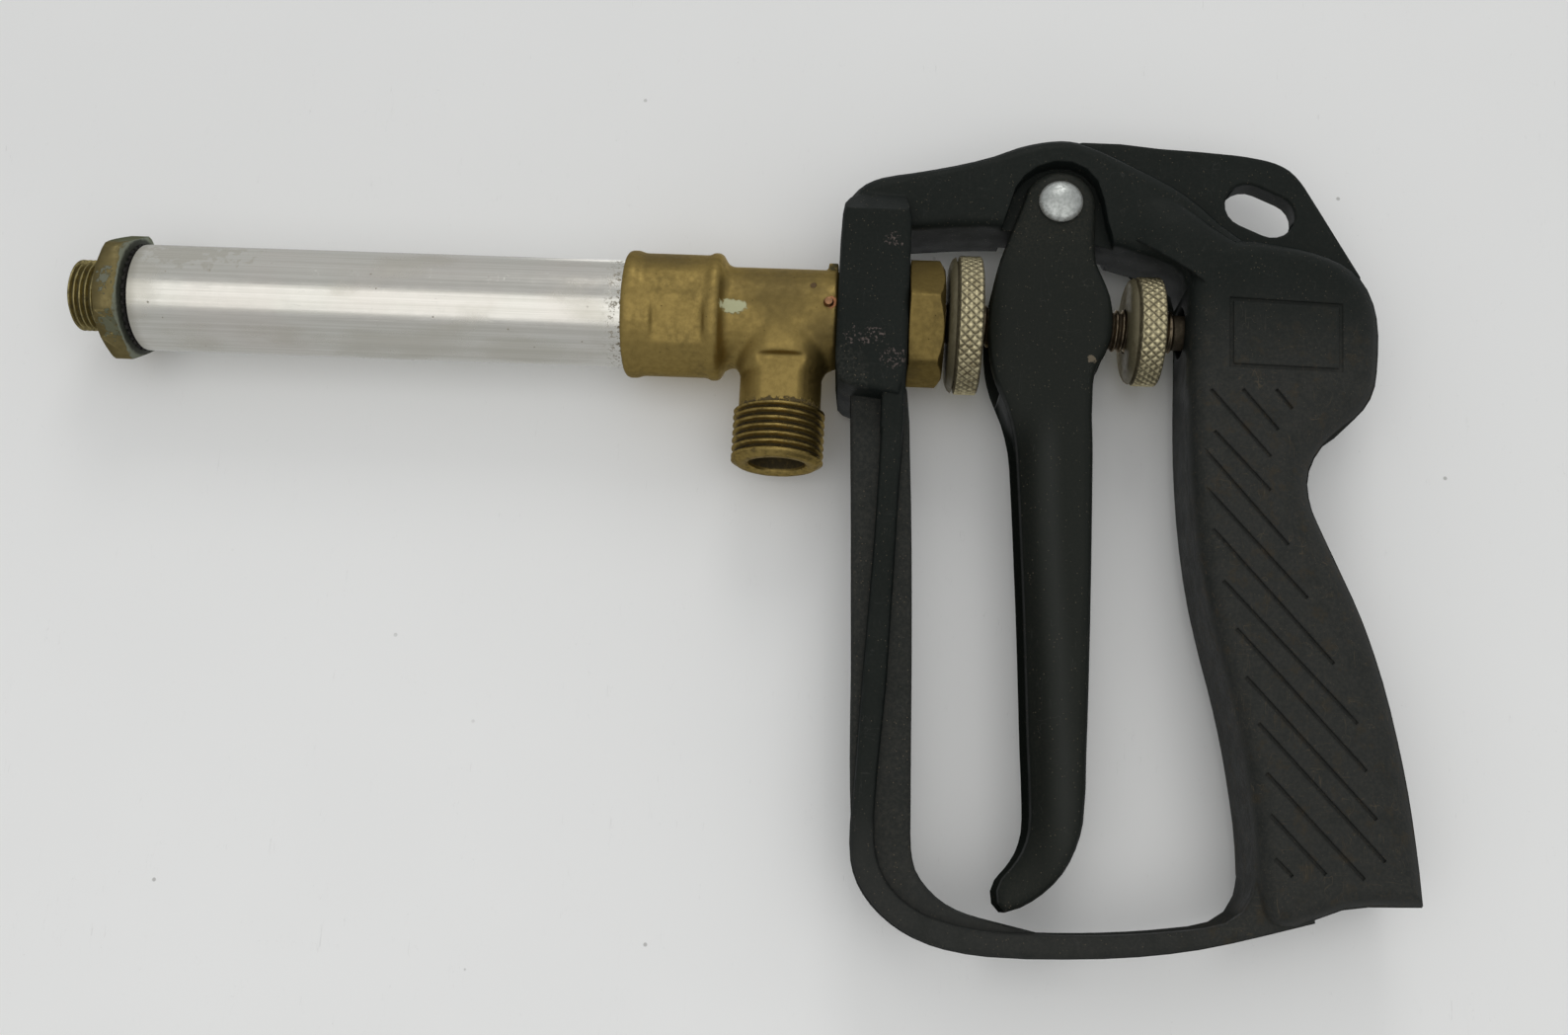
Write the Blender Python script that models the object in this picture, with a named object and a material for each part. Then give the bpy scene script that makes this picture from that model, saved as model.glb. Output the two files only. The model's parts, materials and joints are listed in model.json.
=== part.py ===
"""Hand-held spray gun: a moulded D-handle, a brass tee valve, an aluminium lance and a squeeze trigger.

Axes: +X runs from the outlet back to the grip, +Z is up, +Y is to the gun's left, so the gun is
symmetrical about the XZ plane. Outlines and profiles are written in millimetres from the point
where the inlet's axis crosses the lance's axis, and `placed` moves them into the part's frame,
whose origin lies on the inlet's sealing face.
"""

import math

import bmesh
import bpy
import numpy as np
from mathutils import Matrix, Vector

MM = 0.001
INLET_X = 8.0  # inlet axis, behind the origin
AXIS_Z = 35.3  # lance axis, above the inlet's sealing face
ROUND = 36  # sides of a turned piece
SMOOTH_ANGLE = math.radians(32)
GAP = 0.3  # clearance between neighbouring pieces

# Lance and outlet
LANCE_R = 12.4
LANCE_BORE_R = 10.2
LANCE_FRONT_X = -150.4
LANCE_REAR_X = -19.5
OUTLET_FACE_X = -166.6
OUTLET_HEX_X = (-157.7, -151.8)
OUTLET_FLATS = 27.0
OUTLET_TURN = math.radians(30.0)
OUTLET_BORE_R = 4.9
SPIGOT_END_X = -139.0
OUTLET_THREAD_R = 8.33  # G3/8
OUTLET_PITCH = 1.337
INLET_THREAD_R = 10.48  # G1/2
INLET_PITCH = 1.814

# Valve
SOCKET_R = 14.2
SOCKET_BEAD_R = 14.75
SOCKET_X = (-36.4, -13.9)
BARREL_R = 11.7
TAIL_R = 10.5
TAIL_END_X = 28.2
NECK_R = 9.4
INLET_BORE_R = 6.4
CHAMBER_R = 9.0
PACKING_BORE_R = 8.0
PACKING_NUT_REAR_X = 36.6
PACKING_NUT_FLATS = 26.0
PACKING_NUT_TURN = math.radians(55.4)
SOCKET_FLAT = 13.1  # from the lance's axis to the spanner flat
SOCKET_FLAT_LEAN = math.radians(24.0)  # how far it faces down
NECK_FLAT = 8.4  # from the inlet's axis to the flats on its neck

# Rod and wheels
ROD_R = 4.0
ROD_THREAD_R = 4.85
ROD_TIP_R = 3.0
ROD_FRONT_X = -11.2
ROD_REAR_X = 99.0
LOCK_WHEEL = (37.6, 39.0, 39.3, 45.1)  # front, end of flange, start of rim, rear
LOCK_WHEEL_R = 15.95
ADJUSTER_WHEEL = (78.2, 80.1, 80.4, 86.0)
ADJUSTER_WHEEL_R = 12.5

# Handle
PIVOT = (62.4, 27.6)
BAR_HALF = 9.2
GRIP_HALF = 12.6
BLOCK_HALF = 13.5
BLOCK_X = (12.5, 28.3)
WEB_HALF = 6.2
TAB_HALF = 3.0
LUG_WEB_HALF = 4.9
RIVET_R = 3.0

# Trigger
CHEEK_HALF = 8.7
CHANNEL_HALF = 5.25


# ---- building blocks -------------------------------------------------------------------------


def clear_scene():
    for obj in list(bpy.data.objects):
        bpy.data.objects.remove(obj, do_unlink=True)


def placed(x, y, z):
    """A point in millimetres from the crossing of the two axes, in metres in the part's frame."""
    return Vector(((x + INLET_X) * MM, y * MM, (z + AXIS_Z) * MM))


def new_object(name, bm, origin=(0.0, 0.0, 0.0)):
    """Links the bmesh as an object whose origin is at this point in millimetres."""
    bmesh.ops.recalc_face_normals(bm, faces=bm.faces)
    centre = placed(*origin)
    bmesh.ops.translate(bm, verts=bm.verts, vec=-centre)
    mesh = bpy.data.meshes.new(name)
    bm.to_mesh(mesh)
    bm.free()
    obj = bpy.data.objects.new(name, mesh)
    obj.location = centre
    bpy.context.scene.collection.objects.link(obj)
    return obj


def bridge(bm, rings):
    """Quads between each ring of vertices and the next."""
    for low, high in zip(rings, rings[1:]):
        count = len(low)
        for i in range(count):
            j = (i + 1) % count
            bm.faces.new((low[i], low[j], high[j], high[i]))


def lathe(name, profile, axis="X", centre=(0.0, 0.0), sides=ROUND, origin=(0.0, 0.0, 0.0)):
    """Turns a closed profile of (distance along the axis, radius) points about the axis.

    The axis is X, Y or Z, and `centre` holds its place along the other two axes, in their order.
    """
    bm = bmesh.new()
    order = {"X": (0, 1, 2), "Y": (1, 0, 2), "Z": (2, 0, 1)}[axis]
    columns = []
    for k in range(sides):
        angle = math.tau * (k + 0.5) / sides
        column = []
        for along, radius in profile:
            point = [0.0, 0.0, 0.0]
            point[order[0]] = along
            point[order[1]] = centre[0] + radius * math.cos(angle)
            point[order[2]] = centre[1] + radius * math.sin(angle)
            column.append(bm.verts.new(placed(*point)) if radius > 0 or k == 0 else None)
        columns.append(column)
    for k in range(sides):
        here, after = columns[k], columns[(k + 1) % sides]
        for i in range(len(profile)):
            j = (i + 1) % len(profile)
            corners = [here[i], here[j], after[j], after[i]]
            for slot, index in enumerate((i, j, j, i)):
                if profile[index][1] <= 0:
                    corners[slot] = columns[0][index]
            corners = list(dict.fromkeys(corners))
            if len(corners) > 2:
                bm.faces.new(corners)
    return new_object(name, bm, origin)


def inset_outline(points, distance, favour=None):
    """Moves each corner of an anticlockwise outline inwards by the distance, along its mitre.

    `favour` is a direction, a share and two heights: the sides that face that way move in by that share
    more, above the second height, and by less and less of it from there down to the first.
    """
    points = np.array(points, float)
    before = points - np.roll(points, 1, axis=0)
    after = np.roll(points, -1, axis=0) - points
    before /= np.linalg.norm(before, axis=1)[:, None]
    after /= np.linalg.norm(after, axis=1)[:, None]
    inwards = np.column_stack([-(before + after)[:, 1], (before + after)[:, 0]])
    inwards /= np.linalg.norm(inwards, axis=1)[:, None]
    lean = np.column_stack([-before[:, 1], before[:, 0]])
    stretch = np.clip((inwards * lean).sum(axis=1), 0.6, 1.0)
    if favour and distance > 0:
        direction, share, low, high = favour
        fade = np.clip((points[:, 1] - low) / (high - low), 0.0, 1.0)
        stretch = stretch / (1.0 + share * fade * np.clip(-inwards @ np.array(direction), 0.0, 1.0))
    return points + inwards * (distance / stretch)[:, None]


def anticlockwise(points):
    area = sum(
        x0 * z1 - x1 * z0
        for (x0, z0), (x1, z1) in zip(points, points[1:] + points[:1])
    )
    return list(points) if area > 0 else list(points)[::-1]


def rounded_levels(half, radius, steps=3):
    """(offset across the plate, inset) pairs that round both edges of a plate this thick."""
    near = []
    for k in range(steps + 1):
        angle = 0.5 * math.pi * k / steps
        near.append((half - radius + radius * math.sin(angle), radius * (1 - math.cos(angle))))
    return [(-y, inset) for y, inset in reversed(near)] + near


def stack(name, outline, levels, across="Y", origin=(0.0, 0.0, 0.0), favour=None):
    """A plate with this outline, whose outline is drawn in by each level's inset.

    Across Y the outline is (x, z); across X it is (y, z).
    """
    bm = bmesh.new()
    outline = anticlockwise(outline)
    rings = []
    for offset, inset in levels:
        ring = []
        for u, v in inset_outline(outline, inset, favour):
            point = (u, offset, v) if across == "Y" else (offset, u, v)
            ring.append(bm.verts.new(placed(*point)))
        rings.append(ring)
    bridge(bm, rings)
    bm.faces.new(rings[0])
    bm.faces.new(rings[-1])
    return new_object(name, bm, origin)


def plate(name, outline, half, radius, steps=3, origin=(0.0, 0.0, 0.0), favour=None):
    return stack(name, outline, rounded_levels(half, radius, steps), origin=origin, favour=favour)


def box(name, low, high):
    bm = bmesh.new()
    bmesh.ops.create_cube(bm, size=1.0)
    size = [(b - a) * MM for a, b in zip(low, high)]
    middle = placed(*[(a + b) / 2 for a, b in zip(low, high)])
    bmesh.ops.transform(bm, verts=bm.verts, matrix=Matrix.Translation(middle) @ Matrix.Diagonal((*size, 1.0)))
    return new_object(name, bm)


def boolean(base, others, operation):
    """Joins or cuts with each helper in turn, keeps the result as the base's mesh, and removes the helpers."""
    for other in others:
        modifier = base.modifiers.new(other.name, "BOOLEAN")
        modifier.operation = operation
        modifier.solver = "EXACT"
        modifier.object = other
    bpy.context.view_layer.update()
    graph = bpy.context.evaluated_depsgraph_get()
    mesh = bpy.data.meshes.new_from_object(base.evaluated_get(graph))
    mesh.name = base.name
    base.modifiers.clear()
    base.data = mesh
    for other in others:
        bpy.data.objects.remove(other, do_unlink=True)
    return base


def joined(base, *others):
    return boolean(base, others, "UNION")


def cut(base, *others):
    return boolean(base, others, "DIFFERENCE")


def arc(centre, radius, start, end, count):
    """Points on an arc, from one angle in degrees to the other."""
    return [
        (
            centre[0] + radius * math.cos(math.radians(start + (end - start) * k / (count - 1))),
            centre[1] + radius * math.sin(math.radians(start + (end - start) * k / (count - 1))),
        )
        for k in range(count)
    ]


def softened(points, rounds=1):
    """An outline with each corner cut at a quarter of its two sides, which rounds it."""
    for _ in range(rounds):
        cut_points = []
        for (x0, z0), (x1, z1) in zip(points, points[1:] + points[:1]):
            cut_points.append((0.75 * x0 + 0.25 * x1, 0.75 * z0 + 0.25 * z1))
            cut_points.append((0.25 * x0 + 0.75 * x1, 0.25 * z0 + 0.75 * z1))
        points = cut_points
    return points


def curved(points, gentle=math.radians(25.0)):
    """An outline with a point added half-way along each side that turns gently at both of its ends.

    The new point lies on the arc that the side is a chord of, so the outline runs smoothly through its corners.
    """
    corners = np.array(points, float)
    sides = np.roll(corners, -1, axis=0) - corners
    lengths = np.linalg.norm(sides, axis=1)
    headings = sides / lengths[:, None]
    outline = []
    for k, corner in enumerate(corners):
        outline.append(tuple(corner.tolist()))
        before, here, after = headings[k - 1], headings[k], headings[(k + 1) % len(corners)]
        turns = [math.acos(min(1.0, float(here @ other))) for other in (before, after)]
        if max(turns) < gentle:
            middle = corner + 0.5 * sides[k] + lengths[k] / 16.0 * (before - after)
            outline.append(tuple(middle.tolist()))
    return outline


def thread_profile(start, end, crest, pitch, depth):
    """Outer points of a threaded stretch, as (distance, radius), from its start to its end."""
    turns = int(abs(end - start) / pitch)
    step = (end - start) / turns
    points = []
    for k in range(turns):
        points.append((start + step * (k + 0.15), crest - depth))
        points.append((start + step * (k + 0.65), crest))
    return points


def hexagon(name, x_low, x_high, flats, turn, chamfers):
    """A hexagon on the lance's axis, with blunted corners and a chamfer of its own at each end."""
    across_corners = flats / math.cos(math.pi / 6)
    prism = [
        (
            0.5 * across_corners * math.cos(math.tau * k / 6 + turn),
            0.5 * across_corners * math.sin(math.tau * k / 6 + turn),
        )
        for k in range(6)
    ]
    body = stack(name, prism, [(x_low, 0.0), (x_high, 0.0)], across="X")
    reach = 0.5 * across_corners - 0.4
    rim = 0.5 * flats - 0.3
    low_chamfer, high_chamfer = chamfers
    dome = lathe(
        name + "_dome",
        [
            (x_low, 0.0),
            (x_low, rim),
            (x_low + low_chamfer, reach),
            (x_high - high_chamfer, reach),
            (x_high, rim),
            (x_high, 0.0),
        ],
    )
    return boolean(body, [dome], "INTERSECT")


def finish(obj, look):
    """Smooth shading between gentle faces, and the piece's own material."""
    obj.data.shade_smooth()
    obj.data.set_sharp_from_angle(angle=SMOOTH_ANGLE)
    obj.data.materials.clear()
    obj.data.materials.append(look)
    return obj


def material(name, colour, roughness, metallic):
    made = bpy.data.materials.new(name)
    made.use_nodes = True
    shader = made.node_tree.nodes["Principled BSDF"]
    shader.inputs["Base Color"].default_value = (*colour, 1.0)
    shader.inputs["Roughness"].default_value = roughness
    shader.inputs["Metallic"].default_value = metallic
    return made


# ---- handle ----------------------------------------------------------------------------------

TOP_EDGE = [
    (12.9, 20.0), (13.1, 24.3), (14.4, 28.0), (17.5, 31.2), (21.4, 33.0), (28.3, 34.4), (38.2, 36.6),
    (46.9, 39.2), (52.6, 41.6), (57.8, 43.0), (62.5, 43.6), (66.2, 43.3),
]
TOP_BAR = TOP_EDGE + [
    (72.0, 41.2), (80.0, 37.2), (88.0, 33.0), (94.0, 28.6), (99.0, 23.8), (104.0, 20.0), (112.0, 14.0),
    (112.0, -6.0), (100.0, -10.0), (91.2, 2.0), (91.0, 8.0), (90.2, 11.4), (88.0, 13.8), (84.3, 15.3),
    (79.0, 16.7), (73.2, 18.3), (61.0, 20.6), (50.0, 21.8), (38.3, 21.3), (28.7, 20.4), (20.0, 10.0),
]
GRIP = [
    (91.0, 12.0), (94.0, 18.6), (104.0, 19.8), (110.5, 18.9), (117.0, 17.9), (124.3, 15.6), (129.0, 12.6),
    (132.3, 7.4), (133.5, 0.6), (133.0, -8.6), (131.9, -15.4), (128.6, -20.6), (123.6, -24.4), (119.0, -29.4),
    (116.6, -35.2), (117.1, -41.5), (119.1, -46.6), (122.6, -54.7), (126.7, -64.3), (129.3, -72.0),
    (132.0, -82.0), (134.4, -94.3), (136.0, -105.0), (137.0, -116.0), (137.4, -125.8), (123.0, -126.4),
    (116.0, -129.2), (110.0, -131.6), (104.8, -130.4), (103.4, -123.0), (103.1, -112.0), (102.0, -103.0),
    (100.5, -93.0), (98.3, -82.5), (95.6, -72.0), (93.1, -60.0), (91.4, -46.0), (90.6, -32.0),
    (90.5, -20.0), (90.8, -7.0),
]
GRIP_HEEL = (137.4, -125.8)
HEEL_REACH = 6.0
SWELL_FOOT = [
    (77.0, 19.6), (79.4, 29.6), (85.0, 30.6), (91.0, 27.2), (96.0, 23.0), (101.0, 19.0), (106.0, 17.4),
    (112.0, 16.4), (117.0, 10.0), (117.0, -4.0), (108.0, -14.0), (97.0, -14.0), (93.4, -6.0), (92.8, 4.0),
    (92.2, 10.0), (89.4, 15.0), (84.0, 17.6),
]
SWELL_CREST = [
    (92.0, 9.4), (93.5, 12.6), (95.5, 14.5), (98.0, 15.5), (101.0, 15.6), (104.0, 15.3), (108.0, 14.4),
    (112.0, 12.6), (114.0, 9.0), (114.0, -4.0), (107.0, -12.0), (98.5, -12.0), (96.6, -5.0), (96.0, 3.0),
    (95.2, 6.4), (94.0, 7.8), (92.8, 8.6),
]
TAB = [
    (60.0, 38.0), (64.0, 44.6), (68.0, 45.9), (86.0, 44.9), (103.5, 43.8), (109.0, 43.0), (112.9, 42.0),
    (116.2, 40.2), (118.7, 37.4), (120.6, 34.2), (126.2, 24.0), (131.6, 14.2), (131.0, 8.0),
    (118.0, 0.0), (98.0, 8.0), (78.0, 22.0),
]
RIB = [
    (23.2, -14.0), (23.2, -27.3), (22.7, -50.3), (21.8, -69.9), (21.0, -86.4), (20.3, -104.0),
    (19.8, -114.0), (20.2, -121.6), (21.8, -126.4), (24.9, -130.8), (29.3, -134.6), (34.0, -137.2),
    (40.0, -139.0), (48.8, -140.0), (64.9, -139.7), (79.5, -138.5), (92.2, -136.4), (104.9, -133.1),
    (115.6, -130.0), (114.0, -118.0), (104.6, -117.0), (103.4, -121.0), (102.6, -125.0), (100.6, -128.4),
    (97.2, -130.7), (88.6, -132.5), (79.9, -133.6),
    (70.0, -134.4), (58.7, -134.8), (47.4, -134.7), (37.1, -132.6), (32.6, -130.4), (29.0, -127.4),
    (26.4, -123.4), (25.0, -118.0), (24.9, -108.0), (25.6, -96.0), (26.4, -83.4), (27.6, -42.0),
    (28.3, -27.0), (28.3, -14.0),
]
WEB = [
    (15.8, -14.0), (16.2, -22.0), (16.6, -30.9), (17.4, -48.6), (18.0, -64.0), (18.7, -81.3),
    (19.2, -100.0), (20.0, -113.6), (20.8, -121.6), (24.2, -128.6), (29.8, -133.8), (38.2, -137.8),
    (49.0, -139.2), (62.0, -138.9), (62.0, -135.2), (56.0, -134.0), (50.0, -132.8), (44.6, -131.6),
    (40.2, -129.8), (36.4, -126.8), (33.8, -123.2), (32.8, -119.0), (32.5, -112.0), (31.8, -81.8),
    (31.0, -55.5), (29.9, -32.4), (28.8, -18.0), (27.6, -14.0),
]
RECESS = [
    (60.9, 37.6), (57.0, 36.2), (54.0, 33.8), (52.0, 30.8), (50.8, 26.6), (49.2, 21.6), (47.4, 15.0),
    (77.6, 12.0), (74.8, 17.6), (73.2, 23.0), (72.2, 28.6), (70.8, 33.0), (68.2, 36.0), (64.8, 37.6),
]
BLOCK = [
    (12.4, -17.0), (12.4, 0.0), (12.5, 20.0), (13.4, 25.6), (17.0, 28.6), (22.0, 28.6), (28.4, 28.0),
    (28.4, 0.0), (28.3, -21.2), (22.0, -20.4), (15.0, -19.6),
]
SLOT_ENDS = ((106.4, 31.0), (111.7, 28.6))
SLOT_R = 5.35
GROOVES = [
    ((101.9, -17.2), (109.3, -26.2)), ((109.1, -17.0), (112.4, -21.3)), ((95.0, -17.5), (107.5, -32.3)),
    ((95.6, -27.0), (107.3, -39.9)), ((93.2, -31.0), (110.8, -51.8)), ((93.6, -39.8), (114.5, -63.2)),
    ((95.0, -49.0), (119.6, -77.0)), ((97.0, -60.2), (124.0, -89.3)), ((99.6, -70.4), (125.5, -99.0)),
    ((101.4, -80.6), (127.2, -108.8)), ((103.8, -90.2), (128.6, -117.2)), ((105.2, -100.4), (124.3, -120.9)),
    ((105.8, -108.8), (116.6, -120.3)), ((106.6, -117.6), (109.9, -121.0)),
]
PANEL = [(99.4, 4.3), (124.2, 3.5), (123.7, -12.5), (99.1, -12.1)]
PANEL_LINE = 0.9
PANEL_DEPTH = 0.4
GROOVE_DEPTH = 0.55
GROOVE_WIDTH = 0.75
BEYOND = 2.0  # how far a cutter stands out of the surface that it cuts


def pillow_levels(half):
    """A grip's edge: upright near the middle, then rounding over into a nearly flat cheek."""
    near = [
        (0.58 * half, 0.0), (0.72 * half, 0.35), (0.82 * half, 0.85), (0.90 * half, 1.6), (0.955 * half, 2.5),
        (0.985 * half, 3.4), (half, 4.5),
    ]
    return [(-y, inset) for y, inset in reversed(near)] + near


def grip_outline():
    """The grip's outline, rounded everywhere but at the heel, where the cheek's edge needs one sharp corner."""
    heel = np.array(GRIP_HEEL)
    outline = [point for point in softened(GRIP) if np.linalg.norm(np.array(point) - heel) > HEEL_REACH]
    place = max(k for k, point in enumerate(outline) if point[0] > heel[0] - 0.6)
    return outline[: place + 1] + [GRIP_HEEL] + outline[place + 1 :]


def swell():
    """A gentle rise on each cheek, from the top bar to just under the grip's thickness."""
    near = [(8.2, -0.05), (9.2, 0.05), (10.1, 0.2), (10.95, 0.4), (11.7, 0.6), (12.2, 0.8), (12.45, 1.0)]
    levels = [(-y, share) for y, share in reversed(near)] + near
    foot, crest = np.array(softened(SWELL_FOOT)), np.array(softened(SWELL_CREST))
    bm = bmesh.new()
    rings = []
    for offset, share in levels:
        outline = foot + share * (crest - foot)
        rings.append([bm.verts.new(placed(x, offset, z)) for x, z in outline.tolist()])
    bridge(bm, rings)
    bm.faces.new(rings[0])
    bm.faces.new(rings[-1])
    return new_object("swell", bm)


def block_body():
    """The thick block that the valve's tail passes through, with a sloped shoulder on each side."""
    block = plate("block", softened(BLOCK), BLOCK_HALF, 1.3)
    cutters = []
    for side in (-1, 1):
        slope = [
            (side * (BAR_HALF - 0.5), 28.4), (side * (BLOCK_HALF + 0.1), 22.2),
            (side * 16.0, 22.2), (side * 16.0, 34.0), (side * (BAR_HALF - 0.5), 34.0),
        ]
        cutters.append(stack(f"shoulder_{side}", slope, [(0.0, 0.0), (40.0, 0.0)], across="X"))
    return cut(block, *cutters)


def rib_root():
    """The slope that carries the block's cheeks down into the front arm's rib."""
    cheek, low = BLOCK_HALF - 0.5, BAR_HALF - 0.4
    profile = [
        (-cheek, -12.0), (-cheek, -18.0), (-low, -27.6), (-low + 2.0, -29.0),
        (low - 2.0, -29.0), (low, -27.6), (cheek, -18.0), (cheek, -12.0),
    ]
    levels = [(23.0, 0.9), (23.3, 0.3), (23.9, 0.0), (27.4, 0.0), (28.0, 0.3), (28.2, 0.9)]
    return stack("rib_root", profile, levels, across="X")


def slot_outline(radius):
    """The hanging hole: two half circles joined by straight sides."""
    (x0, z0), (x1, z1) = SLOT_ENDS
    lean = math.degrees(math.atan2(z1 - z0, x1 - x0))
    return arc((x1, z1), radius, lean - 90, lean + 90, 11) + arc((x0, z0), radius, lean + 90, lean + 270, 11)


def groove_cutter(name, start, end, side):
    """A bar that cuts one straight groove into the cheek of the grip on this side."""
    (x0, z0), (x1, z1) = start, end
    length = math.hypot(x1 - x0, z1 - z0)
    ux, uz = (x1 - x0) / length, (z1 - z0) / length
    half = 0.5 * GROOVE_WIDTH
    corners = [
        (x0 - uz * half, z0 + ux * half), (x0 + uz * half, z0 - ux * half),
        (x1 + uz * half, z1 - ux * half), (x1 - uz * half, z1 + ux * half),
    ]
    deep = side * (GRIP_HALF - GROOVE_DEPTH)
    out = side * (GRIP_HALF + BEYOND)
    return stack(name, corners, [(min(deep, out), 0.0), (max(deep, out), 0.0)])


def panel_cutter(name, side):
    """A ring that engraves a blank rectangle into the cheek of the grip on this side."""
    deep = side * (GRIP_HALF - PANEL_DEPTH)
    out = side * (GRIP_HALF + BEYOND)
    span = [(min(deep, out), 0.0), (max(deep, out), 0.0)]
    outer = stack(name, PANEL, span)
    inner_span = [(span[0][0] - 1.0, PANEL_LINE), (span[1][0] + 1.0, PANEL_LINE)]
    inner = stack(name + "_inner", PANEL, inner_span)
    return cut(outer, inner)


def make_handle(look):
    back = ((0.97, -0.24), 1.5, GRIP_HEEL[1], GRIP_HEEL[1] + 26.0)
    handle = stack("handle_frame", grip_outline(), pillow_levels(GRIP_HALF), favour=back)
    joined(
        handle,
        plate("top_bar", curved(TOP_BAR), BAR_HALF, 2.6),
        swell(),
        plate("tab", curved(TAB), TAB_HALF, 0.8, steps=2),
        plate("web", curved(WEB), WEB_HALF, 1.2, steps=2),
        plate("rib", curved(RIB), BAR_HALF - 0.2, 1.3, steps=2),
        block_body(),
        rib_root(),
    )
    helpers = []
    for side in (-1, 1):
        inner, outer = side * LUG_WEB_HALF, side * (BAR_HALF + BEYOND)
        span = [(min(inner, outer), 0.0), (max(inner, outer), 0.0)]
        helpers.append(stack(f"recess_{side}", RECESS, span))
        helpers.append(panel_cutter(f"panel_{side}", side))
        for k, (start, end) in enumerate(GROOVES):
            helpers.append(groove_cutter(f"groove_{side}_{k}", start, end, side))
    flare = [(-TAB_HALF - 1.0, -1.2), (-TAB_HALF + 0.5, 0.0), (TAB_HALF - 0.5, 0.0), (TAB_HALF + 1.0, -1.2)]
    helpers.append(stack("slot", slot_outline(SLOT_R), flare))
    bore = TAIL_R + 0.4
    helpers.append(lathe("bore", [(8.0, 0.0), (8.0, bore), (34.0, bore), (34.0, 0.0)]))
    guide = 5.9
    helpers.append(lathe("guide", [(84.0, 0.0), (84.0, guide), (106.0, guide), (106.0, 0.0)], sides=28))
    pin = RIVET_R + GAP
    helpers.append(
        lathe("rivet_hole", [(-20.0, 0.0), (-20.0, pin), (20.0, pin), (20.0, 0.0)], "Y", PIVOT, 24)
    )
    cut(handle, *helpers)
    return finish(handle, look)


# ---- trigger ---------------------------------------------------------------------------------

TRIGGER = (
    arc(PIVOT, 8.2, 8, 172, 11)
    + [
        (52.6, 24.0), (51.0, 19.4), (49.0, 13.6), (47.6, 7.8), (46.8, 2.0), (46.6, -4.0), (47.1, -10.0),
        (48.4, -15.2), (51.0, -21.6), (52.7, -28.3), (53.4, -36.0), (54.4, -52.9), (55.3, -69.9),
        (55.9, -84.0), (56.4, -96.1), (57.0, -108.0), (56.9, -114.0), (55.6, -118.4), (53.4, -121.8),
        (51.4, -124.2), (50.5, -126.6), (50.8, -129.2), (52.4, -131.0), (55.6, -129.9), (60.2, -126.9),
        (64.3, -122.6), (67.0, -117.4), (68.5, -111.9), (69.1, -98.0), (69.5, -84.2), (70.0, -56.0),
        (70.2, -30.0), (70.2, -15.0), (71.0, -11.6), (73.0, -7.8), (74.3, -3.6), (74.6, 0.9),
        (74.0, 5.7), (72.4, 9.9), (70.9, 13.4), (70.4, 18.4),
    ]
)
TRIGGER_TIP_Z = -131.0
CHANNEL = [
    (44.0, 40.0), (44.0, -10.0), (47.0, -17.0), (52.6, -19.0), (56.2, -30.0), (57.6, -52.9), (58.6, -84.2),
    (60.0, -108.0), (60.0, -116.0), (66.0, -119.0), (90.0, -119.0), (90.0, 40.0),
]


def make_trigger(look):
    """Two cheeks on the rivet that straddle the rod and close into a channel, open at the rear."""
    pivot = (PIVOT[0], 0.0, PIVOT[1])
    outline = curved(TRIGGER)
    front = ((-1.0, 0.0), 0.8, TRIGGER_TIP_Z, TRIGGER_TIP_Z + 12.0)
    trigger = plate("trigger", outline, CHEEK_HALF, 2.2, steps=3, origin=pivot, favour=front)
    channel = stack("channel", CHANNEL, [(-CHANNEL_HALF, 0.0), (CHANNEL_HALF, 0.0)])
    hole = RIVET_R + GAP
    bore = lathe("bore", [(-20.0, 0.0), (-20.0, hole), (20.0, hole), (20.0, 0.0)], "Y", PIVOT, 24)
    cut(trigger, channel, bore)
    return finish(trigger, look)


def make_rivet(look):
    """The pivot pin, with a domed head outside each cheek."""
    head, reach = 5.05, CHEEK_HALF + GAP
    profile = [(-reach - 1.9, 0.0), (-reach - 1.7, 2.6), (-reach - 1.1, 4.2), (-reach - 0.4, head - 0.1)]
    profile += [(-reach, head), (-reach, RIVET_R), (reach, RIVET_R), (reach, head), (reach + 0.4, head - 0.1)]
    profile += [(reach + 1.1, 4.2), (reach + 1.7, 2.6), (reach + 1.9, 0.0)]
    rivet = lathe("pivot_rivet", profile, "Y", PIVOT, 32, origin=(PIVOT[0], 0.0, PIVOT[1]))
    return finish(rivet, look)


# ---- brass valve -----------------------------------------------------------------------------


def spanner_flat():
    """Cuts a flat into the near side of the socket, turned to face a little downwards."""
    cos, sin = math.cos(SOCKET_FLAT_LEAN), math.sin(SOCKET_FLAT_LEAN)
    corners = []
    for out, along in ((SOCKET_FLAT, -9.0), (SOCKET_FLAT, 9.0), (20.0, 9.0), (20.0, -9.0)):
        corners.append((-out * cos + along * sin, -out * sin - along * cos))
    return stack("spanner_flat", corners, [(-29.6, 0.0), (-17.6, 0.0)], across="X")


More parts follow.
